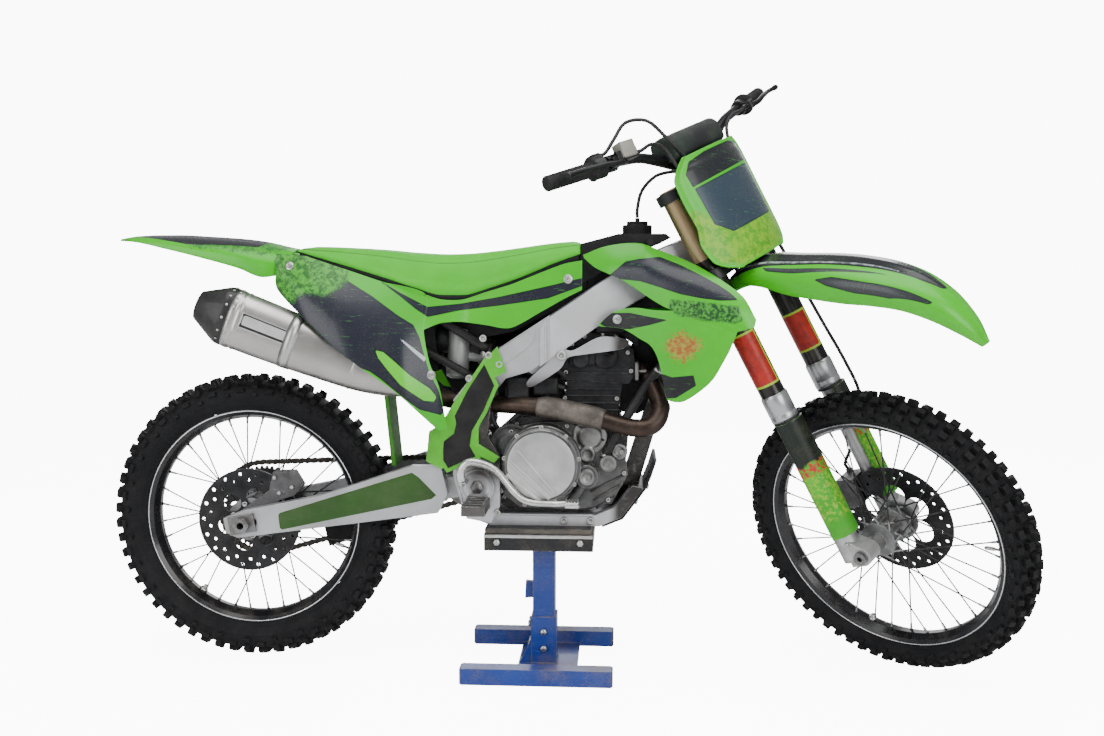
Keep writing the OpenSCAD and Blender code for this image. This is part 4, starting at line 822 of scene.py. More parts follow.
def mould(name, grids, thick, fields, edge=0.0013):
    """A thin moulding from grids of (points, plane coordinates for its printed fields, flipped)."""
    verts, faces, flat = [], [], []
    for points, plane, flipped in grids:
        rows, cols, base = points.shape[0], points.shape[1], len(verts)
        verts += [tuple(v / 1000) for v in points.reshape(-1, 3)]
        flat += list(plane.reshape(-1, 2))
        for i in range(rows - 1):
            for j in range(cols - 1):
                q = [base + i * cols + j, base + i * cols + j + 1, base + (i + 1) * cols + j + 1,
                    base + (i + 1) * cols + j]
                faces.append(q[::-1] if flipped else q)
    shape = new_piece(name, verts, faces)
    for label, outlines in fields.items():
        near = np.max([inside_by(flat, outline) for outline in outlines], axis=0) / 1000
        set_field(shape, label, near)
    solid = shape.modifiers.new("wall", "SOLIDIFY")
    solid.thickness, solid.offset, solid.use_even_offset = thick / 1000, -1.0, False
    cut = shape.modifiers.new("edge", "BEVEL")
    cut.width, cut.segments, cut.limit_method, cut.angle_limit = edge, 2, "ANGLE", math.radians(60)
    keep_shape(shape)
    shape.data.shade_smooth()
    return shape


def film(colour, rough, low=0.0, soft=0.0004):
    """A printed field: its colour, its gloss, and where its edge lies from the drawn outline."""
    def lay(tree, near, base, gloss):
        mask = span(tree, near, low - soft, low + soft)
        return mix(tree, mask, base, colour), mixf(tree, mask, gloss, rough)
    return lay


def speckle_film(colours, scale, low, soft, cover=0.5):
    """A field of fine speckles that thins out towards its edge."""
    def lay(tree, near, base, gloss):
        dots = cloud(tree, scale, 3, 0.75)
        wide = span(tree, near, low - soft, low + soft)
        mask = span(tree, calc(tree, "ADD", calc(tree, "MULTIPLY", wide, 0.55), dots),
            1.02 - cover, 1.08 - cover)
        mask = calc(tree, "MULTIPLY", mask, span(tree, near, low - soft, low - soft * 0.4))
        shade = mix(tree, span(tree, cloud(tree, scale * 0.6, 3, 0.7), 0.42, 0.6), colours[0],
            colours[1])
        return mix(tree, mask, base, shade), mixf(tree, mask, gloss, 0.45)
    return lay


def cover_finish(name, fields):
    return finish(name, cover_green, 0.30, second=(0.030, 0.36, 0.006), vary=(3.2, 0.75),
        grain=(1100, 0.10), fields=fields, marks=0.15,
                  wear=((0.16, 0.60, 0.08), 0.5, 0.0, 0.0022, 0.55),
                  soil=((0.20, 0.17, 0.11), 0.16, 11), coat=0.15, rounded=0.0006)


seam = [[-600, 972], [-520, 962], [-352, 907], [-211, 866], [-168, 866], [-31, 908], [40, 938],
    [96, 957], [135, 960]]
hem = [[-600, 884], [-583, 884], [-452, 766], [-298, 656], [-216, 574], [-214, 574], [-150, 800],
    [135, 890]]


def side_out(x, z):
    top, low = steady(x, seam), np.interp(x, [p[0] for p in hem], [p[1] for p in hem])
    f = np.clip((top - z) / (top - low), 0, 1)
    return (steady(x, [[-600, 84], [-500, 94], [-352, 102], [-200, 104], [-60, 107], [30, 106],
        [135, 98]])
            + steady(x, [[-600, 8], [-500, 50], [-400, 66], [-300, 66], [-215, 34], [-120, 10],
            [-60, 6], [135, 4]]) * np.sin(f * math.pi / 2))


def flank(low, high, rows, cols, out_of):
    """Left and right grids of a side cover between its lower and upper edge."""
    a, b = rounded_line(low, rows, 0.42), rounded_line(high, rows, 0.42)
    share = np.linspace(0, 1, cols)[None, :, None]
    plane = a[:, None, :] * (1 - share) + b[:, None, :] * share
    y = out_of(plane[..., 0], plane[..., 1])
    return [(np.dstack([plane[..., 0], s * y, plane[..., 1]]), plane, s < 0) for s in (-1, 1)]


panel = flank([[-590, 968], [-590, 925], [-584, 886], [-520, 828], [-452, 768], [-376, 713],
    [-298, 658], [-218, 577]],
              [[-520, 962], [-430, 933], [-345, 905], [-250, 878], [-250, 800], [-236, 728],
              [-214, 668], [-198, 577]], 110, 56, side_out)
strip = flank([[-254, 798], [-213, 814], [-166, 817], [-112, 810], [-57, 804], [14, 842],
    [60, 868], [100, 888]],
              [[-254, 878], [-213, 866], [-166, 866], [-112, 883], [-57, 900], [14, 928],
              [60, 945], [100, 953]], 100, 26, side_out)
board = [[-586, 944], [-557, 958], [-490, 931], [-426, 909], [-365, 872], [-306, 830], [-273, 810],
    [-259, 782], [-248, 742], [-235, 700],
         [-218, 667], [-211, 640], [-205, 618], [-213, 612], [-255, 626], [-292, 657], [-340, 696],
         [-362, 711], [-403, 726], [-453, 767], [-522, 825], [-578, 881]]
slash = [[-352, 757], [-334, 753], [-305, 729], [-276, 702], [-234, 670], [-220, 651], [-226, 641],
    [-247, 644], [-296, 681], [-323, 712], [-345, 740]]
sliver = [[-303, 783], [-293, 779], [-243, 738], [-247, 730]]
frost = [[-612, 993], [-557, 980], [-492, 949], [-440, 918], [-470, 896], [-520, 902], [-556, 876],
    [-594, 881], [-612, 931]]
belt = [[-351, 907], [-305, 880], [-244, 849], [-171, 856], [-81, 872], [18, 894], [85, 910],
    [135, 921], [135, 910], [85, 892], [25, 870],
        [-81, 854], [-171, 843], [-242, 828], [-268, 845], [-305, 874]]
side_cover = mould("side_covers", panel + strip, cover_wall,
    {"board": [board], "slash": [slash], "sliver": [sliver], "frost": [frost], "belt": [belt]})
side_print = cover_finish("side_print", [
    ("board", film(film_black, 0.28, -0.0012)), ("board", film(film_grey, 0.26, 0.0010)),
    ("frost", speckle_film(((0.02, 0.12, 0.015), (0.07, 0.36, 0.03)), 150, 0.0, 0.030, 0.58)),
    ("slash", film(film_black, 0.28, -0.0016)), ("slash", film((0.10, 0.58, 0.02), 0.26, 0.0004)),
    ("sliver", film((0.45, 0.50, 0.50), 0.3)), ("belt", film(film_black, 0.28, -0.0008)),
    ("belt", film(film_grey, 0.26, 0.0012))])
add_piece(side_cover, "chassis", "green_plastic", side_print, "side_panels")

shroud_out = [[95, 102], [150, 110], [200, 124], [250, 140], [300, 156], [350, 170], [400, 182],
    [450, 188], [480, 189]]
shroud_crown = [[95, 975], [150, 986], [230, 992], [275, 975], [353, 944], [387, 923], [447, 880],
    [480, 830]]


def shroud_side(x, z):
    f = np.clip(1 - (steady(x, shroud_crown) - z) / 70, 0, 1)
    return steady(x, shroud_out) - steady(x, [[95, 8], [200, 34], [300, 52], [400, 34],
        [480, 10]]) * f * f


lobe = flank([[104, 958], [131, 936], [190, 909], [235, 880], [278, 854], [330, 834], [380, 816],
    [425, 802], [470, 812]],
             [[102, 965], [145, 982], [187, 990], [230, 990], [275, 973], [330, 952], [385, 922],
             [445, 878], [474, 828]], 110, 44, shroud_side)
wing = flank([[138, 808], [190, 803], [227, 783], [251, 768], [266, 742], [278, 696], [287, 653],
    [318, 647], [350, 666], [385, 700], [418, 760]],
             [[138, 814], [173, 842], [215, 850], [255, 846], [285, 845], [310, 845], [340, 840],
             [370, 832], [395, 824], [415, 816], [436, 808]],
             110, 52, shroud_side)
shield = [[131, 919], [162, 921], [196, 950], [227, 956], [270, 960], [313, 943], [355, 922],
    [393, 901], [418, 884], [433, 870], [397, 869],
          [355, 874], [313, 882], [270, 896], [227, 909], [184, 913], [140, 910], [60, 895],
          [60, 910]]
under = [[294, 866], [355, 863], [435, 853], [441, 828], [428, 823], [355, 829], [313, 836],
    [292, 851]]
notch = [[140, 813], [156, 831], [166, 838], [206, 839], [249, 831], [288, 825], [249, 813],
    [206, 803], [162, 802]]
spatter = [[275, 792], [313, 813], [366, 794], [373, 773], [350, 736], [325, 718], [297, 728],
    [271, 759]]
toe = [[255, 715], [298, 702], [344, 708], [350, 684], [307, 655], [262, 650]]
shroud_cover = mould("shroud_covers", lobe + wing, cover_wall,
    {"shield": [shield], "under": [under], "notch": [notch], "spatter": [spatter], "toe": [toe]})
shroud_print = cover_finish("shroud_print", [
    ("shield", film(film_black, 0.28, -0.0010)), ("shield", film(film_grey, 0.26, 0.0012)),
    ("under", speckle_film(((0.014, 0.06, 0.016), (0.06, 0.34, 0.03)), 210, 0.004, 0.010, 0.62)),
    ("notch", film(film_black, 0.5)),
    ("spatter", speckle_film(((0.32, 0.10, 0.015), (0.30, 0.28, 0.04)), 190, 0.020, 0.030, 0.36)),
    ("toe", film(film_black, 0.4, 0.001))])
add_piece(shroud_cover, "chassis", "green_plastic", shroud_print, "shrouds")

fender_st = [[-975, 1002, 22, 996], [-940, 1007, 48, 994], [-845, 1008, 70, 976],
    [-760, 1004, 80, 956], [-677, 998, 88, 934],
             [-620, 990, 90, 914], [-560, 978, 80, 925]]
xs, angles = np.linspace(-976, -560, 96), np.linspace(-90, 90, 71)
crown = np.maximum(np.cos(np.radians(angles)), 0) ** 0.6
rear_grid = np.zeros((96, 71, 3))
for i, x in enumerate(xs):
    top, wide, low = (float(steady(x, [[s[0], s[k]] for s in fender_st])) for k in (1, 2, 3))
    rear_grid[i] = np.stack([np.full(71, x), wide * np.sin(np.radians(angles)),
        low + (top - low) * crown + 2.2 * np.exp(-(angles / 9) ** 2)
                             * np.clip((x + 965) / 60, 0, 1) * np.clip((-590 - x) / 40, 0, 1)], 1)
rear_plane = np.dstack([np.repeat(xs[:, None], 71, 1), np.repeat(angles[None, :], 96, 0)])
tail_field = [[-962, 0], [-950, 30], [-905, 48], [-850, 62], [-800, 68], [-762, 60], [-720, 52],
    [-672, 46], [-640, 40], [-622, 0]]
tail_frost = [[-790, 0], [-790, 75], [-740, 72], [-680, 66], [-620, 60], [-575, 40], [-575, 0]]
mirrored = lambda line: line + [[x, -a] for x, a in line[::-1]]
rear_cover = mould("rear_fender_cover", [(rear_grid, rear_plane, True)], cover_wall,
    {"field": [mirrored(tail_field)], "frost": [mirrored(tail_frost)]})
add_piece(rear_cover, "chassis", "green_plastic", cover_finish("rear_fender_print", [
    ("frost", speckle_film(((0.02, 0.16, 0.016), (0.05, 0.34, 0.02)), 140, 0.004, 0.02, 0.34)),
    ("field", film(film_black, 0.3, -0.0010)),
    ("field", film((0.022, 0.024, 0.028), 0.26, 0.0008))]), "rear_fender")
slope = Matrix.Translation((-0.52, 0, 0.9555)) @ Matrix.Rotation(math.radians(15.0), 4, "Y")
tail_plate = place(block((-0.052, -0.052, -0.0025), (0.048, 0.052, 0.0025), 0.001), slope)
add_piece(join_shapes("rear_fender_tongue", [tail_plate]), "chassis", "green_plastic",
    cover_finish("rear_fender_plain", []))

nose_st = [[-18, 640, 46, 40, 70], [8, 676, 54, 34, 30], [60, 688, 58, 40, -2],
    [120, 682, 64, 52, -18], [188, 656, 70, 66, -22],
           [260, 628, 74, 74, -24], [320, 600, 74, 76, -29], [380, 564, 70, 70, -36],
           [432, 518, 62, 60, -48], [470, 462, 50, 48, -60],
           [490, 400, 34, 30, -74], [494, 348, 14, 10, -82]]
line = rounded_line(nose_st, 130, 0.5)
nose_grid = np.zeros((130, 71, 3))
for i, (x, s, wide, deep, lean) in enumerate(line):
    drop = deep * (1 - crown) - 2.0 * np.exp(-(angles / 8) ** 2) * min(1, max(0, (x - 30) / 60))
    e = math.radians(lean)
    local = np.stack([x + drop * math.sin(e), wide * np.sin(np.radians(angles)),
        s - drop * math.cos(e)], 1)
    nose_grid[i] = [list(fork_at @ Vector(p / 1000) * 1000) for p in local]
along = np.concatenate([[0], np.cumsum(np.hypot(np.diff(line[:, 0]), np.diff(line[:, 1])))])
nose_plane = np.dstack([np.repeat(along[:, None], 71, 1), np.repeat(angles[None, :], 130, 0)])
spine = [[40, 0], [42, 58], [90, 60], [150, 50], [220, 37], [300, 31], [380, 28], [450, 24],
    [520, 18], [560, 8], [566, 0]]
slot_high = [[165, 51], [178, 60], [250, 56], [330, 47], [400, 41], [470, 34], [400, 37],
    [330, 40], [250, 45]]
slot_low = [[300, 66], [330, 74], [400, 80], [480, 80], [560, 66], [566, 56], [500, 58], [420, 60],
    [340, 58]]
streak = [[60, 44], [150, 38], [250, 29], [360, 23], [470, 18], [470, 16], [360, 20], [250, 25],
    [150, 33], [60, 38]]
flip_pair = lambda line: [line, [[x, -a] for x, a in line]]
front_cover = mould("front_fender_cover", [(nose_grid, nose_plane, True)], cover_wall, {
    "spine": [mirrored(spine)], "slots": flip_pair(slot_high) + flip_pair(slot_low),
    "streak": flip_pair(streak)})
add_piece(front_cover, "steering", "green_plastic", cover_finish("front_fender_print", [
    ("spine", film(film_black, 0.28, -0.0005)),
    ("spine", film((0.016, 0.018, 0.020), 0.22, 0.0012)),
    ("streak", speckle_film(((0.30, 0.33, 0.33), (0.08, 0.10, 0.10)), 120, 0.0005, 0.002, 0.55)),
    ("slots", film(film_black, 0.28, -0.0005)),
    ("slots", film((0.030, 0.034, 0.038), 0.26, 0.0010))]), "front_fender")

plate_st = [[690, 84], [708, 118], [730, 136], [770, 142], [810, 134], [870, 136], [915, 134],
    [940, 118], [958, 96]]
ss, ks = np.linspace(690, 958, 76), np.linspace(-1, 1, 81)
board_grid, board_plane = np.zeros((76, 81, 3)), np.zeros((76, 81, 2))
for i, s in enumerate(ss):
    half = float(steady(s, plate_st))
    y = half * ks
    x = 118 - 46 * (y / 140) ** 2 + 3.0 * np.clip((np.abs(ks) - 0.90) / 0.1, 0, 1)
    x += 2.2 * np.clip((s - 706) / 12, 0, 1) * np.clip((940 - s) / 12, 0,
        1) * np.clip((0.86 - np.abs(ks)) / 0.06, 0, 1)
    board_grid[i] = [list(fork_at @ Vector((a / 1000, b / 1000, s / 1000)) * 1000) for a,
        b in zip(x, y)]
    board_plane[i] = np.stack([y, np.full(81, s)], 1)
cap_field = [[-104, 892], [104, 898], [112, 924], [92, 944], [60, 950], [-40, 950], [-86, 944],
    [-106, 922]]
mid_field = [[-98, 800], [-66, 768], [96, 768], [100, 890], [-102, 886]]
glow = [[-126, 836], [-128, 770], [-112, 726], [-76, 704], [70, 704], [112, 730], [122, 790],
    [96, 800], [90, 768], [-66, 768], [-98, 800]]
front_board = mould("front_number_board", [(board_grid, board_plane, False)], cover_wall,
    {"cap": [cap_field], "mid": [mid_field], "glow": [glow]})
add_piece(front_board, "steering", "plate_plastic", cover_finish("front_board_print", [
    ("glow", speckle_film(((0.20, 0.44, 0.012), (0.075, 0.33, 0.010)), 120, 0.004, 0.02, 0.66)),
    ("mid", film((0.014, 0.020, 0.026), 0.3, -0.0008)),
    ("mid", film((0.030, 0.048, 0.066), 0.26, 0.0014)),
    ("cap", film(film_black, 0.28, -0.0008)), ("cap", film((0.017, 0.019, 0.022), 0.24, 0.0012))]),
    "number_plate")

# shouldered screws that hold the covers, each on a turned washer
washer = lathe([(0.0102, 0), (0.0102, 0.0012), (0.0092, 0.0018), (0.0001, 0.0019)], 24)
cover_spots = []
for x, z, out in ((69, 912, side_out), (178, 824, shroud_side), (-556, 940, side_out),
        (-232, 700, side_out)):
    for s in (-1, 1):
        y = float(out(np.array(x), np.array(z)))
        dx = float(out(np.array(x + 3), np.array(z)) - out(np.array(x - 3), np.array(z))) / 6
        dz = float(out(np.array(x), np.array(z + 3)) - out(np.array(x), np.array(z - 3))) / 6
        cover_spots.append((mm(x, s * (y + 0.1), z), Vector((-dx, s, -dz))))
add_piece(repeat("cover_washers", washer, cover_spots, zinc), "chassis", "steel")
add_piece(repeat("cover_screws", screw_head(0.0062, 0.0055, True),
    [(p + n.normalized() * 0.0017, n) for p, n in cover_spots], zinc), "chassis", "steel")

# ---------- Frame, swingarm and engine ----------
# Twin beams of cast and forged aluminium welded to the head casting, a rear subframe made
# near-black as painted shade, and a cast swingarm with a green film. The welds are left as they were laid.


def frame_grime_and_painted_shade(tree):
    """Bare metal, blackened behind the guards: partly mud and chain oil that collect there, partly painted shade
    for the shadow in these recesses.
    """
    at = wire(tree, "ShaderNodeSeparateXYZ", None,
        Vector=wire(tree, "ShaderNodeTexCoord").outputs["Object"]).outputs
    low = calc(tree, "MULTIPLY", span(tree, at["Z"], 0.43, 0.48), span(tree, at["Z"], 0.715, 0.66))
    ahead = calc(tree, "MULTIPLY", low, span(tree, at["X"], -0.19, -0.13))
    front = calc(tree, "MULTIPLY", span(tree, at["X"], 0.155, 0.185),
        span(tree, at["Z"], 0.84, 0.80))
    ahead = calc(tree, "MAXIMUM", ahead, front)
    # painted shade mixed with dirt: the recesses low beside the engine and high behind the shrouds go near-black
    mud_and_shade_mask = calc(tree, "MULTIPLY", ahead, span(tree, cloud(tree, 22, 5, 0.7), 0.2, 0.5, 0.55, 1.0))
    grey = mix(tree, span(tree, cloud(tree, 7, 4, 0.6), 0.35, 0.65), (0.60, 0.61, 0.63),
        (0.47, 0.47, 0.48))
    return mix(tree, mud_and_shade_mask, grey, (0.035, 0.032, 0.030))


# the beams' base colour is darkened in the recesses: partly dirt, partly painted shade
beam_alloy = finish("beam_alloy", (0.60, 0.61, 0.63), 0.36, 0.55, second=(0.44, 0.44, 0.45),
    vary=(7, 0.7), grain=(330, 0.22),
                    brush=((1, 1, 14), 30, 0.4), wear=((0.85, 0.85, 0.86), 0.22, 0.9, 0.0022, 0.6),
                    soil=((0.26, 0.22, 0.18), 0.30, 12), tint=frame_grime_and_painted_shade, rounded=0.0035)
dress("main_frame", beam_alloy)
swing_alloy = finish("swing_alloy", (0.50, 0.51, 0.52), 0.38, 0.65, second=(0.34, 0.34, 0.34),
    vary=(9, 0.8), grain=(340, 0.25),
                     brush=((14, 1, 1), 30, 0.5), wear=((0.8, 0.8, 0.8), 0.25, 0.9, 0.002, 0.6),
                     soil=((0.22, 0.18, 0.14), 0.42, 14), rounded=0.003)
dress("swingarm", swing_alloy)


def tube(points, radius, count=14):
    """A round tube along points, in metres; radius is one value or one for each point."""
    p = [Vector(q) for q in points]
    radii = radius if isinstance(radius, (list, tuple, np.ndarray)) else [radius] * len(p)
    verts, faces = [], []
    ways = [(p[min(i + 1, len(p) - 1)] - p[max(i - 1, 0)]).normalized() for i in range(len(p))]
    side = ways[0].orthogonal().normalized()
    for i, (at, way) in enumerate(zip(p, ways)):
        side = (side - way * side.dot(way)).normalized()
        up = way.cross(side)
        verts += [at + (side * math.cos(2 * math.pi * k / count)
            + up * math.sin(2 * math.pi * k / count)) * radii[i] for k in range(count)]
    for i in range(len(p) - 1):
        a, b = i * count, (i + 1) * count
        faces += [(a + k, a + (k + 1) % count, b + (k + 1) % count, b + k) for k in range(count)]
    faces.append([k for k in range(count)][::-1])
    faces.append([(len(p) - 1) * count + k for k in range(count)])
    return verts, faces


def rounded_path(points, count):
    """A rounded line as points in metres."""
    return [Vector(q) * 0.001 for q in rounded_line(points, count)]


def slab(outline, y0, y1):
    """A plate cut to an outline in X and Z (millimetres), between two Y planes."""
    n = len(outline)
    area = sum(a[0] * b[1] - b[0] * a[1] for a, b in zip(outline, outline[1:] + outline[:1]))
    line = outline if area > 0 else outline[::-1]
    verts = [mm(x, y0, z) for x, z in line] + [mm(x, y1, z) for x, z in line]
    faces = [list(range(n)), [n + k for k in range(n)][::-1]] + [[(k + 1) % n, k, n + k,
        n + (k + 1) % n] for k in range(n)]
    if y0 > y1:
        faces = [f[::-1] for f in faces]
    return verts, faces


def flat_piece(name, shapes, cut=0.0006):
    """Plates joined as one piece with their edges broken."""
    shape = join_shapes(name, shapes)
    shape.data.shade_flat()
    if cut:
        mod = shape.modifiers.new("edge", "BEVEL")
        mod.width, mod.segments, mod.limit_method, mod.angle_limit = cut, 2, "ANGLE", math.radians(
            50)
        keep_shape(shape)
    return shape


def curved(outline, count):
    """A closed outline with its corners eased into curves."""
    return [list(q) for q in rounded_line(outline + outline[:2], count, 0.42)]


arm_film = finish("arm_film", (0.020, 0.062, 0.010), 0.34, second=(0.030, 0.095, 0.014),
    vary=(5, 0.9), grain=(900, 0.08), marks=0.4,
                  soil=((0.15, 0.13, 0.09), 0.3, 16), rounded=0.0003)
arm_line = [[-594, 372], [-590, 377], [-284, 474], [-268, 463], [-229, 423], [-240, 414],
    [-586, 338], [-591, 342]]
add_piece(flat_piece("swingarm_film", [slab(arm_line, s * 103.4, s * 104.1) for s in (-1, 1)],
    0.0003), "chassis", "green_plastic", arm_film)
guard_green = finish("guard_green", (0.085, 0.47, 0.020), 0.36, second=(0.05, 0.30, 0.014),
    vary=(10, 0.8), grain=(800, 0.2), marks=0.5,
                     wear=((0.30, 0.55, 0.20), 0.6, 0.0, 0.003, 0.8),
                     soil=((0.16, 0.17, 0.08), 0.4, 20), rounded=0.002)
dress("frame_guards", guard_green)
dress("mud_flap", finish("flap_green", (0.045, 0.22, 0.014), 0.5, second=(0.02, 0.12, 0.01),
    vary=(8, 0.9), grain=(600, 0.3),
                         soil=((0.12, 0.12, 0.06), 0.45, 14), rounded=0.002))


def widened(outline, by):
    """The outline moved outwards by a distance, corner by corner."""
    n, out = len(outline), []
    turn = 1 if sum(a[0] * b[1] - b[0] * a[1] for a,
        b in zip(outline, outline[1:] + outline[:1])) > 0 else -1
    for i in range(n):
        a, b, c = (Vector(outline[k % n]) for k in (i - 1, i, i + 1))
        e, f = (b - a).normalized(), (c - b).normalized()
        ne, nf = Vector((e.y, -e.x)) * turn, Vector((f.y, -f.x)) * turn
        m = (ne + nf).normalized()
        out.append(list(b + m * by / max(0.55, m.dot(ne))))
    return out


grip_black = finish("grip_black", (0.014, 0.014, 0.015), 0.62, second=(0.028, 0.027, 0.026),
    vary=(20, 0.8), grain=(560, 0.9),
                    soil=((0.06, 0.055, 0.045), 0.2, 24), rounded=0.0006, Specular_IOR_Level=0.15)
infill = [[-117, 722], [-95, 675], [-120, 617], [-146, 572], [-151, 538], [-138, 514], [-168, 502],
    [-200, 487], [-211, 505], [-211, 530],
          [-209, 548], [-186, 566], [-181, 588], [-184, 606], [-156, 662]]
add_piece(flat_piece("frame_guard_rims", [slab(widened(infill, 9), s * 105.0, s * 111.0)
    for s in (-1, 1)], 0.0015), "chassis", "dark_green_plastic", guard_green)
add_piece(flat_piece("frame_guard_grips", [slab(infill, s * 111.2, s * 112.3) for s in (-1, 1)],
    0.0005), "chassis", "black_plastic", grip_black)

# hardware: pivot nut, engine bolts, and the welds between castings
big_hex = screw_head(0.0155, 0.009, False)
washer_big = lathe([(0.021, 0), (0.021, 0.002), (0.019, 0.003), (0.0001, 0.003)], 32)
pivot_spots = [(Vector((-0.135, s * 0.107, 0.444)), Vector((0, s, 0))) for s in (-1, 1)]
add_piece(repeat("pivot_washers", washer_big, pivot_spots, zinc), "chassis", "steel")
add_piece(repeat("pivot_nuts", big_hex, [(p + n * 0.002, n) for p, n in pivot_spots], axle_steel),
    "chassis", "steel")
frame_bolts = [(x, s * y, z) for s in (-1, 1) for x, y,
    z in ((-120, 104, 780), (56, 82, 762), (-84, 104, 722), (-152, 104, 690), (-108, 104, 742),
                                                          (-128, 82, 372), (120, 82, 364),
                                                          (-90, 104, 385), (60, 82, 364))]
add_piece(repeat("frame_bolts", screw_head(0.0085, 0.0075, True),
    [(Vector(p) / 1000, Vector((0, 1 if p[1] > 0 else -1, 0))) for p in frame_bolts], zinc),
          "chassis", "steel")
weld_seams = []
for s in (-1, 1):
    y = s * 0.1045
    weld_seams += [[(0.020, y, 0.735), (0.0185, y, 0.825)],
        [(-0.186, y, 0.640), (-0.126, y, 0.716)], [(-0.184, y, 0.470), (-0.162, y, 0.374)]]
    weld_seams += [[(-0.100, s * 0.0826, 0.3765), (0.128, s * 0.0826, 0.3765)]]
add_piece(repeat("frame_welds", ripple, [spot for line in weld_seams for spot in bead(line)],
    beam_alloy, size=1.15), "chassis", "frame_alloy")

# the beams' raised pads, cast in
pad_shape = curved([[-98, 748], [-60, 772], [-8, 800], [-10, 770], [-60, 730], [-104, 706]], 40)
add_piece(flat_piece("beam_pads", [slab(pad_shape, s * 103.5, s * 105.6) for s in (-1, 1)],
    0.0012), "chassis", "frame_alloy", beam_alloy)

# engine hangers: forged brackets under the beams, bolted to the head
hanger_line = curved([[-20, 686], [50, 752], [80, 753], [142, 784], [203, 776], [188, 757],
    [111, 745], [69, 737], [50, 710], [-12, 671]], 60)
add_piece(flat_piece("engine_hangers", [slab(hanger_line, s * 92, s * 98) for s in (-1, 1)],
    0.002), "chassis", "frame_alloy", beam_alloy)
hanger_bolts = [(mm(55, s * 98, 742), Vector((0, s, 0))) for s in (-1, 1)]
add_piece(repeat("hanger_bolts", screw_head(0.0115, 0.010, True), hanger_bolts, zinc), "chassis",
    "steel")

# subframe: welded tube, bolted to the beams; made near-black as painted shade, so the tubes read as the shadow in
# the opening under the seat
rail_shade_black = finish("rail_shade_black", (0.018, 0.018, 0.019), 0.42, 0.3, second=(0.04, 0.038, 0.036),
    vary=(12, 0.8), grain=(400, 0.2),
                    soil=((0.10, 0.08, 0.06), 0.3, 18), rounded=0.001)
rails = []
rail_y = 67.7
for s in (-1, 1):
    y = rail_y
    rails.append(tube(rounded_path([[-112, s * y, 752], [-330, s * y, 876],
        [-560, s * (y - 8), 934]], 30), 0.010, 20))
    rails.append(tube(rounded_path([[-150, s * y, 690], [-430, s * (y - 2), 846],
        [-470, s * (y - 2), 905]], 30), 0.009, 20))
    rails.append(tube([Vector((-0.108, s * y / 1000, 0.742)), Vector((-0.108, s * 0.0797, 0.742))],
        0.009, 20))
    rails.append(tube([Vector((-0.152, s * y / 1000, 0.690)), Vector((-0.152, s * 0.0797, 0.690))],
        0.008, 20))
    for x, z, out in ((-222, 822, 1), (-350, 876, 1), (-500, 918, 1)):
        rails.append(tube([mm(x, s * (y - 4), z),
            mm(x, s * (float(side_out(np.array(x - 6), np.array(z + 6))) - 5.4), z)], 0.006, 16))
for x, z in ((-258.7, 823.7), (-440, 903), (-552, 931)):
    rails.append(tube([mm(x, -64, z), mm(x, 64, z)], 0.007, 16))
add_piece(join_shapes("subframe_rails", rails), "chassis", "frame_alloy", rail_shade_black, "subframe")

# engine: sand-cast cases, a polished clutch cover, a black head with its cam cover
case_cast = finish("case_cast", (0.085, 0.087, 0.088), 0.44, 0.7, second=(0.035, 0.035, 0.034),
    vary=(16, 0.95), grain=(210, 0.7),
                   wear=((0.5, 0.5, 0.5), 0.32, 0.9, 0.003, 0.7),
                   soil=((0.11, 0.09, 0.07), 0.65, 15), rounded=0.003)
dress("engine_cases", case_cast)
cover_cast = finish("cover_cast", (0.13, 0.132, 0.132), 0.40, 0.8, second=(0.055, 0.054, 0.052),
    vary=(20, 0.95), grain=(230, 0.6),
                    wear=((0.66, 0.66, 0.66), 0.25, 0.95, 0.003, 0.8),
                    soil=((0.11, 0.09, 0.075), 0.6, 18), rounded=0.004)
dress("engine_covers", cover_cast)
head_black = finish("head_black", (0.010, 0.010, 0.011), 0.42, 0.3, second=(0.030, 0.031, 0.033),
    vary=(22, 0.9), grain=(260, 0.6),
                    wear=((0.22, 0.23, 0.24), 0.4, 0.6, 0.003, 0.7),
                    soil=((0.10, 0.09, 0.08), 0.4, 24), rounded=0.003)
dress("engine_top_end", head_black)
clutch_bright = finish("clutch_bright", (0.62, 0.62, 0.615), 0.33, 0.85,
    second=(0.40, 0.395, 0.385), vary=(11, 0.9), grain=(300, 0.25),
                       brush=((1, 1, 18), 22, 0.4), wear=((0.85, 0.85, 0.84), 0.2, 1.0, 0.002,
                       0.6), soil=((0.17, 0.14, 0.11), 0.35, 16), rounded=0.002)


def facing(x, y, z, side):
    """Frame whose Z points out to one side, at a point in millimetres."""
    return Matrix.Translation(mm(x, y, z)) @ Matrix.Rotation(math.radians(-90 * side), 4, "X")


dome = [(0.0835, 0.000), (0.0835, 0.004), (0.0815, 0.0075), (0.0815, 0.012), (0.079, 0.0150),
    (0.074, 0.0166), (0.050, 0.0172), (0.0001, 0.0174)]
add_piece(new_piece("clutch_cover_dome", *place(lathe(dome, 96), facing(11, -119.8, 498, -1))),
    "chassis", "engine_alloy", clutch_bright)
ribs_on = []
for (ax, az), (bx, bz), wide, high in (((-60, 508), (31, 425), 11, 4.5),
        ((-42, 533), (46, 432), 6, 3.2), ((-66, 478), (9, 419), 8, 3.2)):
    d = Vector((bx - ax, 0, bz - az))
    at = Matrix.Translation(mm((ax + bx) / 2, -137.2, (az + bz) / 2)) @ Matrix((d.normalized(),
        Vector((0, -1, 0)), d.normalized().cross(Vector((0, -1, 0))))).transposed().to_4x4()
    ribs_on.append(place(block((-d.length / 2000, -0.002, -wide / 2000),
        (d.length / 2000, high / 1000, wide / 2000), 0.0018), at))
add_piece(join_shapes("clutch_cover_ribs", ribs_on), "chassis", "engine_alloy", clutch_bright)
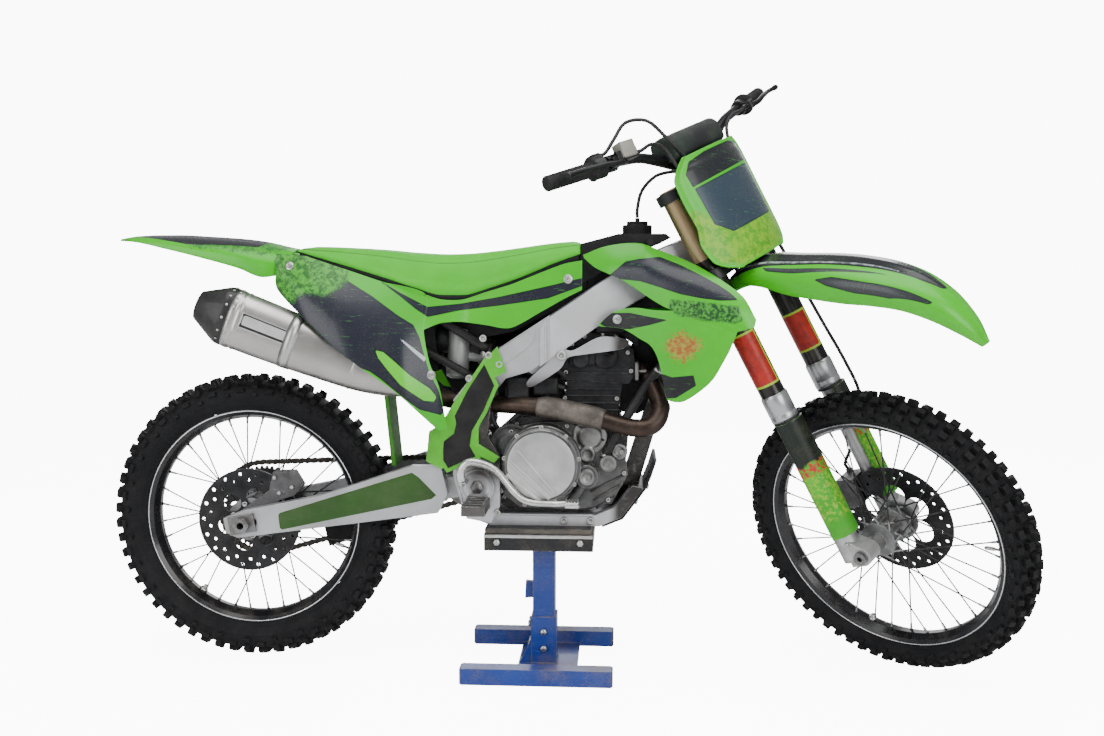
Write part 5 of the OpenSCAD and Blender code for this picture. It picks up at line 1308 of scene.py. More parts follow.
gear_cap = lathe([(0.040, 0), (0.040, 0.003), (0.036, 0.0045), (0.034, 0.003), (0.027, 0.003),
    (0.026, 0.0065), (0.020, 0.0075), (0.0001, 0.0075)], 48)
boss = lathe([(0.052, 0), (0.052, 0.004), (0.047, 0.007), (0.045, 0.004), (0.034, 0.004),
    (0.032, 0.008), (0.024, 0.010), (0.0001, 0.011)], 56)
add_piece(new_piece("sprocket_cover_boss", *place(boss, facing(-60, -75.8, 532, -1))), "chassis",
    "engine_alloy", case_cast)
parts = [place(gear_cap, facing(118, -75.6, 556, -1))]
cap = lathe([(0.019, 0), (0.019, 0.006), (0.017, 0.008), (0.012, 0.008), (0.011, 0.005),
    (0.0001, 0.005)], 40)
parts += [place(cap, facing(112, -107.6, 470, -1)), place(cap, facing(160, -99.6, 500, -1)),
    place(cap, facing(112, -76, 516, -1)), place(cap, facing(184, -76, 524, -1))]
parts.append(place(lathe([(0.060, 0), (0.060, 0.004), (0.054, 0.007), (0.040, 0.0075),
    (0.036, 0.006), (0.0001, 0.006)], 72), facing(62, 111.6, 482, 1)))
for k in range(5):
    turn = math.radians(40 + 36 * k)
    parts.append(tube([mm(112 + 15 * math.cos(turn), -102, 470 + 15 * math.sin(turn)),
        mm(112 + 30 * math.cos(turn), -88, 470 + 30 * math.sin(turn))], 0.0035, 10))
cast_mid = finish("cast_mid", (0.26, 0.26, 0.255), 0.38, 0.85, second=(0.11, 0.108, 0.10),
    vary=(26, 0.95), grain=(260, 0.4),
                  wear=((0.7, 0.7, 0.69), 0.22, 1.0, 0.0025, 0.7),
                  soil=((0.10, 0.085, 0.07), 0.5, 22), rounded=0.002)
add_piece(join_shapes("engine_cover_castings", parts), "chassis", "engine_alloy", cast_mid)
clutch_x, clutch_y, clutch_z, clutch_ring = 11, -119.8, 498, 85
case_screws = [(mm(clutch_x + clutch_ring * math.cos(a), clutch_y,
    clutch_z + clutch_ring * math.sin(a)), Vector((0, -1, 0)))
    for a in np.radians(range(10, 360, 40))]
flywheel_x, flywheel_y, flywheel_z, flywheel_ring = 62, 98, 482, 69
case_screws += [(mm(flywheel_x + flywheel_ring * math.cos(a), flywheel_y,
    flywheel_z + flywheel_ring * math.sin(a)), Vector((0, 1, 0)))
    for a in np.radians(range(0, 360, 36))]
case_screws += [(mm(x, -76, z), Vector((0, -1, 0))) for x,
    z in ((-84, 430), (-86, 520), (-60, 566), (0, 580), (66, 580), (112, 552), (190, 522),
    (196, 474), (160, 412), (90, 396), (-30, 398))]
case_screws += [(mm(x, s * 54, z), Vector((0, s, 0))) for s in (-1, 1) for x,
    z in ((62, 700), (76, 762), (104, 782), (152, 778), (202, 746), (210, 704))]
case_screws += [(mm(x, s * 50, z), Vector((0, s, 0))) for s in (-1, 1) for x,
    z in ((-80, 410), (-84, 540), (-50, 580), (120, 592), (190, 560), (60, 640), (178, 640))]
add_piece(repeat("engine_screws", screw_head(0.0052, 0.0055, True), case_screws, zinc), "chassis",
    "steel")

# casting ribs on the cases, cooling jacket bands on the barrel, cam cover ledge and cap
stiff = [tube([mm(x0, -77, z0), mm(x1, -77, z1)], 0.003, 8) for x0, z0, x1, z1 in
         ((-90, 470, -76, 430), (86, 584, 150, 548), (132, 392, 176, 420), (120, 430, 196, 470),
         (126, 410, 186, 446), (100, 556, 120, 590))]
add_piece(join_shapes("case_ribs", stiff), "chassis", "engine_alloy", case_cast)
jacket = [block((0.054, -0.0535, z), (0.186, 0.0535, z + 0.004), 0.0012) for z in (0.612, 0.628,
    0.644, 0.660, 0.676)]
jacket += [block((0.050, -0.0565, 0.696), (0.216, 0.0565, 0.702), 0.0015),
    block((0.066, -0.046, 0.786), (0.158, 0.046, 0.7935), 0.002)]
jacket += [place(lathe([(0.030, 0), (0.030, 0.006), (0.024, 0.008), (0.022, 0.006),
    (0.0001, 0.006)], 40), facing(150, -54, 738, -1)),
           place(lathe([(0.021, 0), (0.021, 0.012), (0.017, 0.015), (0.0001, 0.015)], 32),
           facing(96, -54, 730, -1)),
           place(lathe([(0.012, 0), (0.012, 0.02), (0.009, 0.024), (0.0001, 0.024)], 24),
           Matrix.Translation((0.112, 0, 0.790)))]
add_piece(join_shapes("head_castings", jacket), "chassis", "engine_black", head_black)

# intake: throttle body, its clamps and boot, up to the airbox
throttle = [tube(rounded_path([[-40, 0, 716], [-80, 0, 724], [-130, 0, 742]], 8),
    [0.027, 0.029, 0.029, 0.026, 0.026, 0.028, 0.030, 0.030], 28)]
throttle += [tube(rounded_path([[-130, 0, 742], [-180, 0, 762], [-240, 0, 776]], 10),
    [0.032, 0.033, 0.031, 0.033, 0.031, 0.033, 0.032, 0.034, 0.036, 0.038], 28)]
throttle += [block((-0.100, -0.046, 0.700), (-0.056, -0.026, 0.748), 0.004),
    block((-0.092, 0.026, 0.704), (-0.062, 0.050, 0.744), 0.004)]
add_piece(join_shapes("throttle_body_and_boot", throttle), "chassis", "engine_black", head_black)

hose_rubber = finish("hose_rubber", (0.014, 0.014, 0.015), 0.5, second=(0.03, 0.03, 0.03),
    vary=(30, 0.7), grain=(700, 0.25),
                     soil=((0.11, 0.10, 0.08), 0.35, 30), rounded=0)
hoses = [tube(rounded_path(line, 26), r, 16) for line, r in (
    ([[150, -84, 506], [176, -84, 560], [212, -74, 620], [250, -62, 680], [276, -60, 716]], 0.0105),
    ([[150, 58, 560], [190, 66, 610], [236, 66, 660], [276, 60, 712]], 0.0105),
    ([[140, 40, 786], [190, 56, 800], [244, 62, 812], [290, 60, 824]], 0.0105),
    ([[140, -40, 786], [190, -56, 800], [244, -62, 812], [292, -60, 826]], 0.0105),
    ([[112, 0, 806], [96, -22, 830], [60, -46, 826], [10, -56, 790], [-30, -52, 740]], 0.0042),
    ([[-40, -60, 604], [-70, -66, 640], [-60, -62, 690], [-20, -58, 720], [30, -60, 712],
    [64, -62, 690]], 0.0048),
    ([[-86, -58, 560], [-106, -62, 600], [-98, -60, 660], [-84, -48, 716]], 0.0055),
    ([[-20, 54, 604], [-50, 60, 650], [-40, 58, 700], [20, 60, 742], [60, 62, 750]], 0.0050),
    ([[40, -64, 596], [20, -66, 634], [34, -64, 668], [60, -60, 664]], 0.0060),
    ([[-64, -66, 588], [-30, -72, 610], [20, -70, 606], [60, -66, 596]], 0.0055))]
add_piece(join_shapes("engine_hoses", hoses), "chassis", "rubber", hose_rubber)
clips = [(Vector(p) / 1000, Vector(n)) for p,
    n in (((154, -84, 514), (0.35, 0, 1)), ((270, -60, 706), (0.55, 0, 1)),
    ((154, 58, 566), (0.6, 0.1, 1)),
         ((148, -44, 788), (1, -0.3, 0.3)), ((148, 44, 788), (1, 0.3, 0.3)),
         ((-52, 0, 718), (-1, 0, 0.2)), ((-124, 0, 740), (-1, 0, 0.35)))]
band = lathe([(0.0112, -0.004), (0.0122, -0.004), (0.0122, 0.004), (0.0112, 0.004)], 28,
    Matrix.Identity(4), True)
add_piece(repeat("hose_clamps", band, [(p, n, None, 1.0 if i < 5 else 2.65) for i,
    (p, n) in enumerate(clips)], zinc), "chassis", "steel")
flap = [[-92, 604], [48, 604], [60, 690], [40, 716], [96, 792], [170, 796], [224, 756], [236, 812],
    [150, 858], [40, 800], [-60, 735], [-92, 700]]
front_flap = [[184, 602], [188, 700], [216, 770], [262, 800], [286, 740], [262, 660], [256, 612],
    [226, 596]]
add_piece(flat_piece("rubber_heat_flap", [slab(flap, -30, -33), slab(flap, 30, 33),
    slab(front_flap, 16, 19)], 0.0008), "chassis", "engine_black", hose_rubber)
small_parts = [block((-0.030, -0.070, 0.694), (0.034, -0.048, 0.730), 0.006),
    block((0.044, -0.072, 0.770), (0.100, -0.050, 0.812), 0.006),
               block((0.130, -0.074, 0.790), (0.196, -0.052, 0.824), 0.006),
               block((-0.070, -0.078, 0.640), (-0.020, -0.056, 0.690), 0.005),
               block((-0.010, -0.074, 0.648), (0.046, -0.054, 0.690), 0.006),
               block((-0.004, -0.070, 0.612), (0.044, -0.052, 0.640), 0.005),
               block((0.070, -0.066, 0.716), (0.130, -0.054, 0.760), 0.005)]
add_piece(join_shapes("wiring_boxes", small_parts), "chassis", "engine_black", head_black)

# ---------- Exhaust ----------
# A bent steel header, brown and straw where the heat has stained it, into a titanium can
# with an oval belly; the rear cap is moulded carbon and riveted on.
pipe_line = [[222, -26, 704], [230, -26, 704], [246, -36, 692], [264, -64, 660], [276, -94, 620],
    [256, -112, 588], [205, -112, 584],
             [120, -104, 606], [40, -94, 622], [-30, -78, 626], [-90, -58, 626], [-160, -56, 630],
             [-200, -59, 636], [-236, -79, 648],
             [-262, -87.7, 657.7], [-267.8, -88, 659.9]]
pipe_steps, pipe_sides, pipe_r, weld_rise, weld_every = 120, 28, 0.0200, 0.0016, 30
pipe_path = rounded_path(pipe_line, pipe_steps)
swell = [pipe_r + (weld_rise if i % weld_every in (0, 1) else 0) for i in range(pipe_steps)]
header_pipe = new_piece("header_pipe", *tube(pipe_path, swell, pipe_sides))
set_field(header_pipe, "heat", np.repeat(np.linspace(0, 1, pipe_steps), pipe_sides))


def heat_stain(tree):
    near = wire(tree, "ShaderNodeAttribute", {"attribute_name": "heat"}).outputs["Fac"]
    drift = calc(tree, "ADD", near, calc(tree, "MULTIPLY",
        calc(tree, "SUBTRACT", cloud(tree, 16, 5, 0.7), 0.5), 0.22))
    ramp = wire(tree, "ShaderNodeValToRGB", None, Fac=drift)
    stops = [(0.0, (0.045, 0.030, 0.024)), (0.18, (0.16, 0.10, 0.065)), (0.30, (0.30, 0.20, 0.14)),
        (0.40, (0.10, 0.05, 0.03)),
             (0.55, (0.055, 0.035, 0.026)), (0.68, (0.22, 0.095, 0.045)),
             (0.80, (0.07, 0.045, 0.035)), (1.0, (0.22, 0.17, 0.13))]
    for i, (at, shade) in enumerate(stops):
        stop = ramp.color_ramp.elements[i] if i < 2 else ramp.color_ramp.elements.new(at)
        stop.position, stop.color = at, (*shade, 1)
    return mix(tree, span(tree, cloud(tree, 46, 4, 0.7), 0.5, 0.72, 0, 0.7), ramp.outputs[0],
        (0.035, 0.028, 0.024))


header_brown = finish("header_brown", (0.2, 0.12, 0.08), 0.36, 0.85, vary=(20, 0.8),
    grain=(300, 0.25), tint=heat_stain,
                      soil=((0.10, 0.08, 0.06), 0.4, 24), rounded=0)
add_piece(header_pipe, "chassis", "header_steel", header_brown, "exhaust_header")
shield_path = rounded_path([[150, -109, 599], [120, -104, 606], [40, -94, 622], [0, -87, 624]], 24)
shell = tube(shield_path, [0.0245 - 0.003 * (abs(i - 11.5) / 11.5) ** 6 for i in range(24)], 28)
add_piece(new_piece("header_shield", *shell), "chassis", "header_steel",
    finish("shield_grey", (0.16, 0.14, 0.12), 0.5, 0.7, second=(0.06, 0.05, 0.045),
          vary=(30, 1.0), grain=(240, 0.8), soil=((0.09, 0.08, 0.06), 0.5, 30), rounded=0.001))
port = [place(block((-0.004, -0.040, -0.022), (0.006, 0.040, 0.022), 0.004),
    Matrix.Translation((0.222, -0.026, 0.704)))]
add_piece(join_shapes("header_flange", port), "chassis", "header_steel", axle_steel)
coil = [tube([Vector((0.222 + 0.022 * t, -0.026 + s * 0.030 + 0.004 * math.cos(38 * t * 2),
    0.704 + 0.004 * math.sin(38 * t * 2))) for t in np.linspace(0, 1, 60)], 0.0009, 6)
    for s in (-1, 1)]
add_piece(join_shapes("header_springs", coil), "chassis", "steel", zinc)

can_at = (Matrix.Translation((-0.268, -0.088, 0.660)) @ Matrix.Rotation(math.radians(2.6), 4,
    "Z") @ Matrix.Rotation(math.radians(21.3), 4, "Y")
          @ Matrix.Rotation(math.radians(180), 4, "Z"))


def can_ring(x, wide, high, count=72, square=2.5):
    """One ring of the can: an oval with fuller shoulders."""
    out = []
    for k in range(count):
        a = 2 * math.pi * k / count
        c, s = math.cos(a), math.sin(a)
        out.append(can_at @ mm(x, wide * abs(c) ** (2 / square) * (1 if c > 0 else -1),
            high * abs(s) ** (2 / square) * (1 if s > 0 else -1)))
    return out


def ringed(rings, closed_ends=True):
    n = len(rings[0])
    verts = [v for ring in rings for v in ring]
    faces = [(i * n + (k + 1) % n, i * n + k, (i + 1) * n + k, (i + 1) * n + (k + 1) % n)
        for i in range(len(rings) - 1) for k in range(n)]
    if closed_ends:
        faces += [list(range(n)), [(len(rings) - 1) * n + k for k in range(n)][::-1]]
    return verts, faces


can_table = [[0.3, 22, 22], [20, 24, 25], [60, 34, 38], [130, 45, 52], [160, 47, 55],
    [440, 47, 66], [452, 47, 66]]
stations = sorted(set(list(np.linspace(0.3, 452, 60)) + [149.0, 150.5, 152.0, 153.5, 425.0, 427,
    429, 431, 436, 438, 440]))
rings = []
for x in stations:
    wide = float(steady(x, [[r[0], r[1]] for r in can_table]))
    high = float(steady(x, [[r[0], r[2]] for r in can_table]))
    lift = 1.2 if 150 < x < 153 or 426.5 < x < 430 or x > 437 else 0
    rings.append(can_ring(x, wide + lift, high + lift, 72,
        2.0 + 0.45 * min(1, max(0, (x - 60) / 120))))
can_titanium = finish("can_titanium", (0.50, 0.49, 0.475), 0.30, 0.92, second=(0.40, 0.375, 0.345),
    vary=(4, 0.9), grain=(700, 0.10),
                      brush=((1, 22, 1), 26, 0.5), wear=((0.7, 0.7, 0.7), 0.25, 1.0, 0.0015, 0.4),
                      soil=((0.20, 0.17, 0.14), 0.32, 9), marks=0.3, rounded=0.0006)
add_piece(new_piece("muffler_can", *ringed(rings)), "chassis", "muffler_skin", can_titanium,
    "muffler")
cap_rings = [can_ring(x, w, h, 72, q) for x, w, h,
    q in ((452.3, 47.5, 66.6, 2.45), (453.5, 48.2, 67.2, 2.45), (468, 47.6, 66.2, 2.45),
    (474, 46, 64.4, 2.45),
             (526, 27.5, 35.2, 2.1), (531, 25, 32, 2.0), (532, 23, 29, 2.0))]
cap_rings += [[can_at @ mm(x, r * math.cos(2 * math.pi * k / 72),
    r * math.sin(2 * math.pi * k / 72)) for k in range(72)]
              for x, r in ((531.5, 18.5), (529, 18), (500, 18))]
cap_black = finish("cap_black", (0.012, 0.012, 0.013), 0.42, second=(0.035, 0.032, 0.03),
    vary=(26, 0.8), grain=(380, 0.5),
                   soil=((0.08, 0.07, 0.06), 0.25, 20), coat=0.2, rounded=0.0012)
add_piece(new_piece("muffler_cap_shell", *ringed(cap_rings)), "chassis", "black_plastic",
    cap_black, "muffler_end_cap")
rivet = lathe([(0.0034, 0), (0.0032, 0.0012), (0.002, 0.0019), (0.0001, 0.0021)], 12)
rivet_spots = []
for k in range(16):
    a = 2 * math.pi * (k + 0.5) / 16
    for x, wide, high in ((461, 48, 66.8), (445, 48.2, 67.2)):
        p = can_ring(x, wide, high, 16, 2.45)[k]
        rivet_spots.append((p, p - can_at @ Vector((x / 1000, 0, 0))))
add_piece(repeat("muffler_rivets", rivet, rivet_spots, zinc), "chassis", "steel")
strap = [can_ring(x, 48.6 + lift, 62.8 + lift + (x - 300) * 0.04, 72, 2.45) for x,
    lift in ((292, -1), (292, 1.2), (316, 1.2), (316, -1))]
hanger = block((-0.012, -0.006, 0), (0.012, 0.006, 0.045), 0.002)
add_piece(join_shapes("muffler_strap", [ringed(strap, False),
    place(hanger, can_at @ Matrix.Translation((0.304, -0.030, 0.055)))]), "chassis", "steel", zinc)
badge_angles, badge_x = np.radians(np.linspace(-4, 20, 9)), np.linspace(290, 422, 24)
badge_wide, badge_high, flare, square = 48.1, 62.2, 0.035, 0.816
count, last = len(badge_angles), len(badge_x) - 1
verts = [can_at @ mm(x, badge_wide * math.cos(a) ** square,
    (badge_high + (x - 300) * flare) * abs(math.sin(a)) ** square * (1 if a > 0 else -1))
         for x in badge_x for a in badge_angles]
faces = [(i * count + k + 1, i * count + k, (i + 1) * count + k, (i + 1) * count + k + 1)
    for i in range(last) for k in range(count - 1)]
badge_piece = new_piece("muffler_badge", verts, faces)
badge_print = finish("badge_print", (0.55, 0.55, 0.54), 0.35, 0.3, second=(0.4, 0.4, 0.4),
    vary=(30, 0.6), grain=(700, 0.1), marks=0.3,
                     fields=[("frame", film((0.02, 0.02, 0.02), 0.4, 0.0))], rounded=0)
badge_long, badge_tall, frame_in, frame_half = 132, 36, 4.0, 2.4
edge = [[min(i / last, 1 - i / last) * badge_long,
    min(k / (count - 1), 1 - k / (count - 1)) * badge_tall] for i in range(last + 1)
    for k in range(count)]
set_field(badge_piece, "frame", [(frame_half - abs(min(e) - frame_in)) / 1000 for e in edge])
add_piece(badge_piece, "chassis", "muffler_skin", badge_print)

# ---------- Radiators, tank and airbox ----------
# Two aluminium cores behind the shrouds, a black moulded tank with a twist cap, the airbox
# and its duct. The cores' fins are thin strips laid across the tubes.
core_grey = finish("core_grey", (0.17, 0.17, 0.175), 0.5, 0.7, second=(0.08, 0.08, 0.08),
    vary=(20, 0.9), grain=(300, 0.4),
                   soil=((0.16, 0.13, 0.10), 0.5, 20), rounded=0.001)
dress("radiators", core_grey)
fin_count, fin_pitch = 46, 3.05
fins, down = [], Vector((-60, 0, -162)).normalized()
for s in (-1, 1):
    for k in range(fin_count):
        at = Vector((349, s * 81, 842)) + down * (fin_pitch * k)
        fins.append((at / 1000, Vector((0.87, 0, -0.5)), Vector((0, 1, 0))))
add_piece(repeat("radiator_fins", block((-0.0365, -0.0003, -0.004), (0.0365, 0.0003, 0.004)), fins,
    core_grey, smooth=False), "chassis", "engine_alloy")
bars = [tube([(Vector((351, s * (47 + 8.5 * k), 846)) + down * a) / 1000 for a in (0, 142)],
    0.0012, 8) for s in (-1, 1) for k in range(9)]
add_piece(join_shapes("radiator_tubes", bars), "chassis", "engine_alloy", core_grey)
moulded_black = finish("moulded_black", (0.013, 0.013, 0.014), 0.5, second=(0.028, 0.027, 0.026),
    vary=(14, 0.8), grain=(500, 0.5),
                       wear=((0.04, 0.04, 0.04), 0.6, 0, 0.002, 0.5),
                       soil=((0.07, 0.06, 0.05), 0.25, 16), rounded=0.002, Specular_IOR_Level=0.15)
for part in ("fuel_tank", "fuel_cap", "airbox", "chain_guide", "skid_plate"):
    dress(part, moulded_black)
intake_line = [[-205, 818], [-150, 772], [-60, 790], [60, 850], [95, 846], [95, 950], [-20, 900],
    [-160, 860], [-205, 850]]
wheel_flap = [[-225, 850], [-235, 690], [-190, 604], [-96, 600], [-60, 735], [60, 826], [96, 850],
    [-20, 850]]
tank_wing = [[110, 846], [330, 846], [350, 900], [180, 950], [110, 950]]
walls = [slab(intake_line, s * 40, s * 43) for s in (-1, 1)] + [slab(wheel_flap, 44,
    47)] + [slab(tank_wing, s * 43, s * 46) for s in (-1, 1)]
add_piece(flat_piece("intake_duct_walls", walls, 0.0008), "chassis", "black_plastic", moulded_black)
cap_x, cap_z, cap_r = 222, 1022, 32.2
ribs_round = [(mm(cap_x + cap_r * math.cos(a), cap_r * math.sin(a), cap_z), Vector((0, 0, 1)),
    Vector((math.cos(a), math.sin(a), 0))) for a in np.linspace(0, 2 * math.pi, 36, False)]
add_piece(repeat("cap_ribs", block((-0.0012, -0.0010, -0.009), (0.0012, 0.0010, 0.009), 0.0004),
    ribs_round, moulded_black), "chassis", "black_plastic")
skid_bolts = [(mm(x, s * 55, z), Vector((0.95, 0, -0.3))) for s in (-1, 1) for x,
    z in ((247, 440), (222, 404))]
add_piece(repeat("skid_plate_screws", button, skid_bolts, zinc), "chassis", "steel")

# ---------- Chain ----------
# Roller chain of 15.9 mm pitch round both sprockets: outer and inner links in turn, with
# steel rollers on the pins.
chain_brown = finish("chain_brown", (0.075, 0.068, 0.058), 0.42, 0.8, second=(0.03, 0.026, 0.022),
    vary=(50, 0.9), grain=(600, 0.3),
                     wear=((0.45, 0.43, 0.38), 0.3, 1.0, 0.0008, 0.5),
                     soil=((0.09, 0.07, 0.05), 0.5, 40), rounded=0.0003)
big, small = Vector((-675.9, 350.0)), Vector((-62.0, 452.0))
across = small - big
lean = math.atan2(across.y, across.x)
big_r, small_r, pitch, link_y = 112.75, 37.85, 15.875, 66.5
part_way = math.acos((big_r - small_r) / across.length)
loop = [big + Vector((math.cos(a), math.sin(a))) * big_r for a in np.linspace(lean + part_way,
    lean + 2 * math.pi - part_way, 90)]
loop += [small + Vector((math.cos(a), math.sin(a))) * small_r for a in np.linspace(lean - part_way,
    lean + part_way, 30)]
loop.append(loop[0])
lengths = np.concatenate([[0], np.cumsum([(b - a).length for a, b in zip(loop, loop[1:])])])
links = 2 * round(lengths[-1] / pitch / 2)
pins = [mm(float(np.interp(t, lengths, [p.x for p in loop])), link_y,
    float(np.interp(t, lengths, [p.y for p in loop])))
        for t in np.linspace(0, lengths[-1], links, False)]
half_pitch = pitch / 2
waist = [[half_pitch + 6.4 * math.cos(a), 6.4 * math.sin(a)]
    for a in np.radians(np.linspace(-110, 110, 10))]
waist += [[0, 4.6]] + [[-x, -z] for x, z in waist] + [[0, -4.6]]
for name, far, first in (("chain_outer_links", 5.7, 0), ("chain_inner_links", 3.9, 1)):
    plates = [slab(waist, s * (far - 0.75), s * (far + 0.75)) for s in (-1, 1)]
    both_plates = join_shapes("link_pair", plates)
    pair = ([v.co.copy() for v in both_plates.data.vertices],
        [list(f.vertices) for f in both_plates.data.polygons])
    bpy.data.objects.remove(both_plates)
    spots = []
    for i in range(first, links, 2):
        a, b = pins[i], pins[(i + 1) % links]
        spots.append(((a + b) / 2, (b - a).cross(Vector((0, 1, 0))), b - a))
    add_piece(repeat(name, pair, spots, chain_brown, smooth=False), "chassis", "chain_steel")
roller = lathe([(0.0001, -0.0068), (0.0024, -0.0068), (0.0024, -0.0032), (0.0048, -0.0032),
    (0.0048, 0.0032), (0.0024, 0.0032), (0.0024, 0.0068), (0.0001, 0.0068)], 14)
rollers = repeat("chain_rollers", roller, [(p, Vector((0, 1, 0))) for p in pins], chain_brown)
add_piece(rollers, "chassis", "chain_steel", None, "chain")

# ---------- Shock, linkage, brakes and foot pieces ----------
# Coil-over shock with its reservoir beside it, cast linkage, and forged foot levers polished
# by boots; the pegs are steel with cut teeth.
top, low = Vector((-84, 0, 722)), Vector((-192, 0, 432))
way = low - top
shock_grey = finish("shock_grey", (0.40, 0.41, 0.40), 0.4, 0.35, second=(0.28, 0.285, 0.28),
    vary=(12, 0.8), grain=(300, 0.2),
                    wear=((0.6, 0.6, 0.6), 0.3, 0.8, 0.002, 0.5),
                    soil=((0.14, 0.12, 0.10), 0.35, 22), rounded=0.002)
turn_to = Matrix.Translation(top / 1000) @ way.to_track_quat("Z", "Y").to_matrix().to_4x4()
full = way.length / 1000
body_line = [(0.0001, full * 0.06), (0.022, full * 0.06), (0.027, full * 0.085),
    (0.027, full * 0.33), (0.034, full * 0.335), (0.035, full * 0.36), (0.027, full * 0.365),
             (0.024, full * 0.55), (0.008, full * 0.56), (0.008, full * 0.86),
             (0.034, full * 0.865), (0.035, full * 0.885), (0.016, full * 0.90),
             (0.014, full * 0.985), (0.0001, full * 0.985)]
shock_parts = [lathe(body_line, 48, turn_to)]
for p, r, hole, wide in ((top, 23.9, 14.4, 26), (low, 15.9, 8.4, 18)):
    ring = [(hole, -wide), (r, -wide), (r, wide), (hole, wide)]
    shock_parts.append(lathe([(a / 1000, b / 1000) for a, b in ring], 40,
        Matrix.Translation(p / 1000) @ Matrix.Rotation(math.radians(-90), 4, "X"), True))
shock_parts.append(tube(rounded_path([[-185, -28, 736], [-140, -22, 730], [-100, -14, 724]], 8),
    0.0118, 20))
add_piece(join_shapes("shock_body", shock_parts), "chassis", "steel", shock_grey, "shock_absorber")
coil_turns, coil_r, wire_r, coil_foot, coil_long = 6.6, 0.0285, 0.0052, 0.372, 0.482
coils = [turn_to @ Vector((coil_r * math.cos(t * coil_turns * 2 * math.pi),
    coil_r * math.sin(t * coil_turns * 2 * math.pi), full * (coil_foot + coil_long * t)))
    for t in np.linspace(0, 1, 190)]
add_piece(new_piece("shock_spring", *tube(coils, wire_r, 12)), "chassis", "steel",
          finish("spring_steel", (0.30, 0.30, 0.31), 0.35, 0.8, second=(0.16, 0.16, 0.16),
          vary=(30, 0.8), grain=(500, 0.1), soil=((0.12, 0.10, 0.08), 0.4, 30), rounded=0))
flask = [(0.0001, 0), (0.017, 0.0005), (0.0235, 0.004), (0.0255, 0.010), (0.0258, 0.014),
    (0.0248, 0.016), (0.0258, 0.018), (0.0258, 0.104), (0.0246, 0.106), (0.0258, 0.108),
    (0.0248, 0.113), (0.019, 0.1165), (0.0001, 0.117)]
flask_at = Matrix.Translation(mm(-190, -28, 682)) @ Vector((8, 0, 116)).to_track_quat("Z",
    "Y").to_matrix().to_4x4()
add_piece(new_piece("shock_reservoir", *lathe(flask, 56, flask_at)), "chassis", "steel", shock_grey)
link_cast = finish("link_cast", (0.30, 0.30, 0.30), 0.45, 0.8, second=(0.14, 0.13, 0.12),
    vary=(24, 0.9), grain=(300, 0.5),
                   wear=((0.6, 0.6, 0.6), 0.3, 1.0, 0.002, 0.6),
                   soil=((0.11, 0.09, 0.07), 0.55, 22), rounded=0.002)
caliper_dark = finish("caliper_dark", (0.11, 0.11, 0.115), 0.42, 0.7, second=(0.05, 0.05, 0.05),
    vary=(28, 0.9), grain=(320, 0.4),
                      wear=((0.45, 0.45, 0.45), 0.3, 0.9, 0.002, 0.6),
                      soil=((0.11, 0.09, 0.07), 0.5, 24), rounded=0.003)
dress("shock_linkage", link_cast)
dress("rear_caliper", caliper_dark)
dress("front_caliper", caliper_dark)
dress("footpegs", finish("peg_steel", (0.13, 0.125, 0.12), 0.45, 0.8, second=(0.06, 0.055, 0.05),
    vary=(26, 0.9), grain=(340, 0.4),
                         wear=((0.5, 0.5, 0.5), 0.25, 1.0, 0.003, 0.8),
                         soil=((0.13, 0.10, 0.08), 0.5, 26), rounded=0.0015))
spike = lathe([(0.0030, 0), (0.0028, 0.001), (0.0010, 0.0046), (0.0001, 0.005)], 4)
teeth = [(mm(x, s * (124 + 8.2 * k), 421.8), Vector((0, 0, 1))) for s in (-1, 1) for k in range(11)
    for x in (-154, -110)]
add_piece(repeat("peg_teeth", spike, teeth, axle_steel, smooth=False), "chassis", "steel")
pedal_bright = finish("pedal_bright", (0.70, 0.70, 0.69), 0.25, 0.9, second=(0.45, 0.44, 0.42),
    vary=(18, 0.9), grain=(260, 0.3),
                      wear=((0.9, 0.9, 0.9), 0.18, 1.0, 0.003, 0.8),
                      soil=((0.15, 0.12, 0.09), 0.4, 24), rounded=0.002)
pedal_line = rounded_path([[-166, -141, 462], [-166, -145, 490], [-142, -146, 508],
    [-92, -147, 492], [-52, -147, 446], [-20, -148, 421], [36, -149, 416], [72, -150, 418]], 40)
levers = [tube(pedal_line, list(np.interp(np.linspace(0, 1, 40), [0, 0.25, 0.5, 1],
    [0.0105, 0.0095, 0.0078, 0.0062])), 20),
          block((0.066, -0.176, 0.412), (0.096, -0.140, 0.424), 0.003),
          tube([Vector((-0.166, -0.1045, 0.460)), Vector((-0.166, -0.146, 0.460))], 0.009, 20),
          tube(rounded_path([[6, 121, 410], [60, 126, 404], [110, 130, 408], [150, 134, 424]], 24),
          0.0066, 16),
          tube([Vector((0.150, 0.130, 0.425)), Vector((0.150, 0.166, 0.425))], 0.0085, 20),
          tube([Vector((0.006, 0.0505, 0.410)), Vector((0.006, 0.128, 0.410))], 0.0072, 16)]
levers += [block((0.067 + 0.0065 * k, -0.175, 0.4235), (0.070 + 0.0065 * k, -0.141, 0.4265),
    0.0006) for k in range(5)]
add_piece(join_shapes("foot_levers", levers), "chassis", "frame_alloy", pedal_bright,
    "foot_controls")
round_base = lathe([(0.040, 0), (0.040, 0.003), (0.036, 0.005), (0.033, 0.003), (0.027, 0.003),
    (0.025, 0.006), (0.0215, 0.006)], 56, Matrix.Identity(4))
add_piece(join_shapes("pivot_rings", [place(round_base, facing(-135, s * 104.2, 444, s))
    for s in (-1, 1)]), "chassis", "frame_alloy", beam_alloy)
cal_bolts = [(rear_axle_at.translation + Vector((x, -0.0795, z)), Vector((0, -1, 0))) for x,
    z in ((0.068, 0.104), (0.108, 0.082), (0.078, 0.068))]
add_piece(repeat("rear_caliper_bolts", screw_head(0.0052, 0.005, False), cal_bolts, zinc),
    "chassis", "steel")
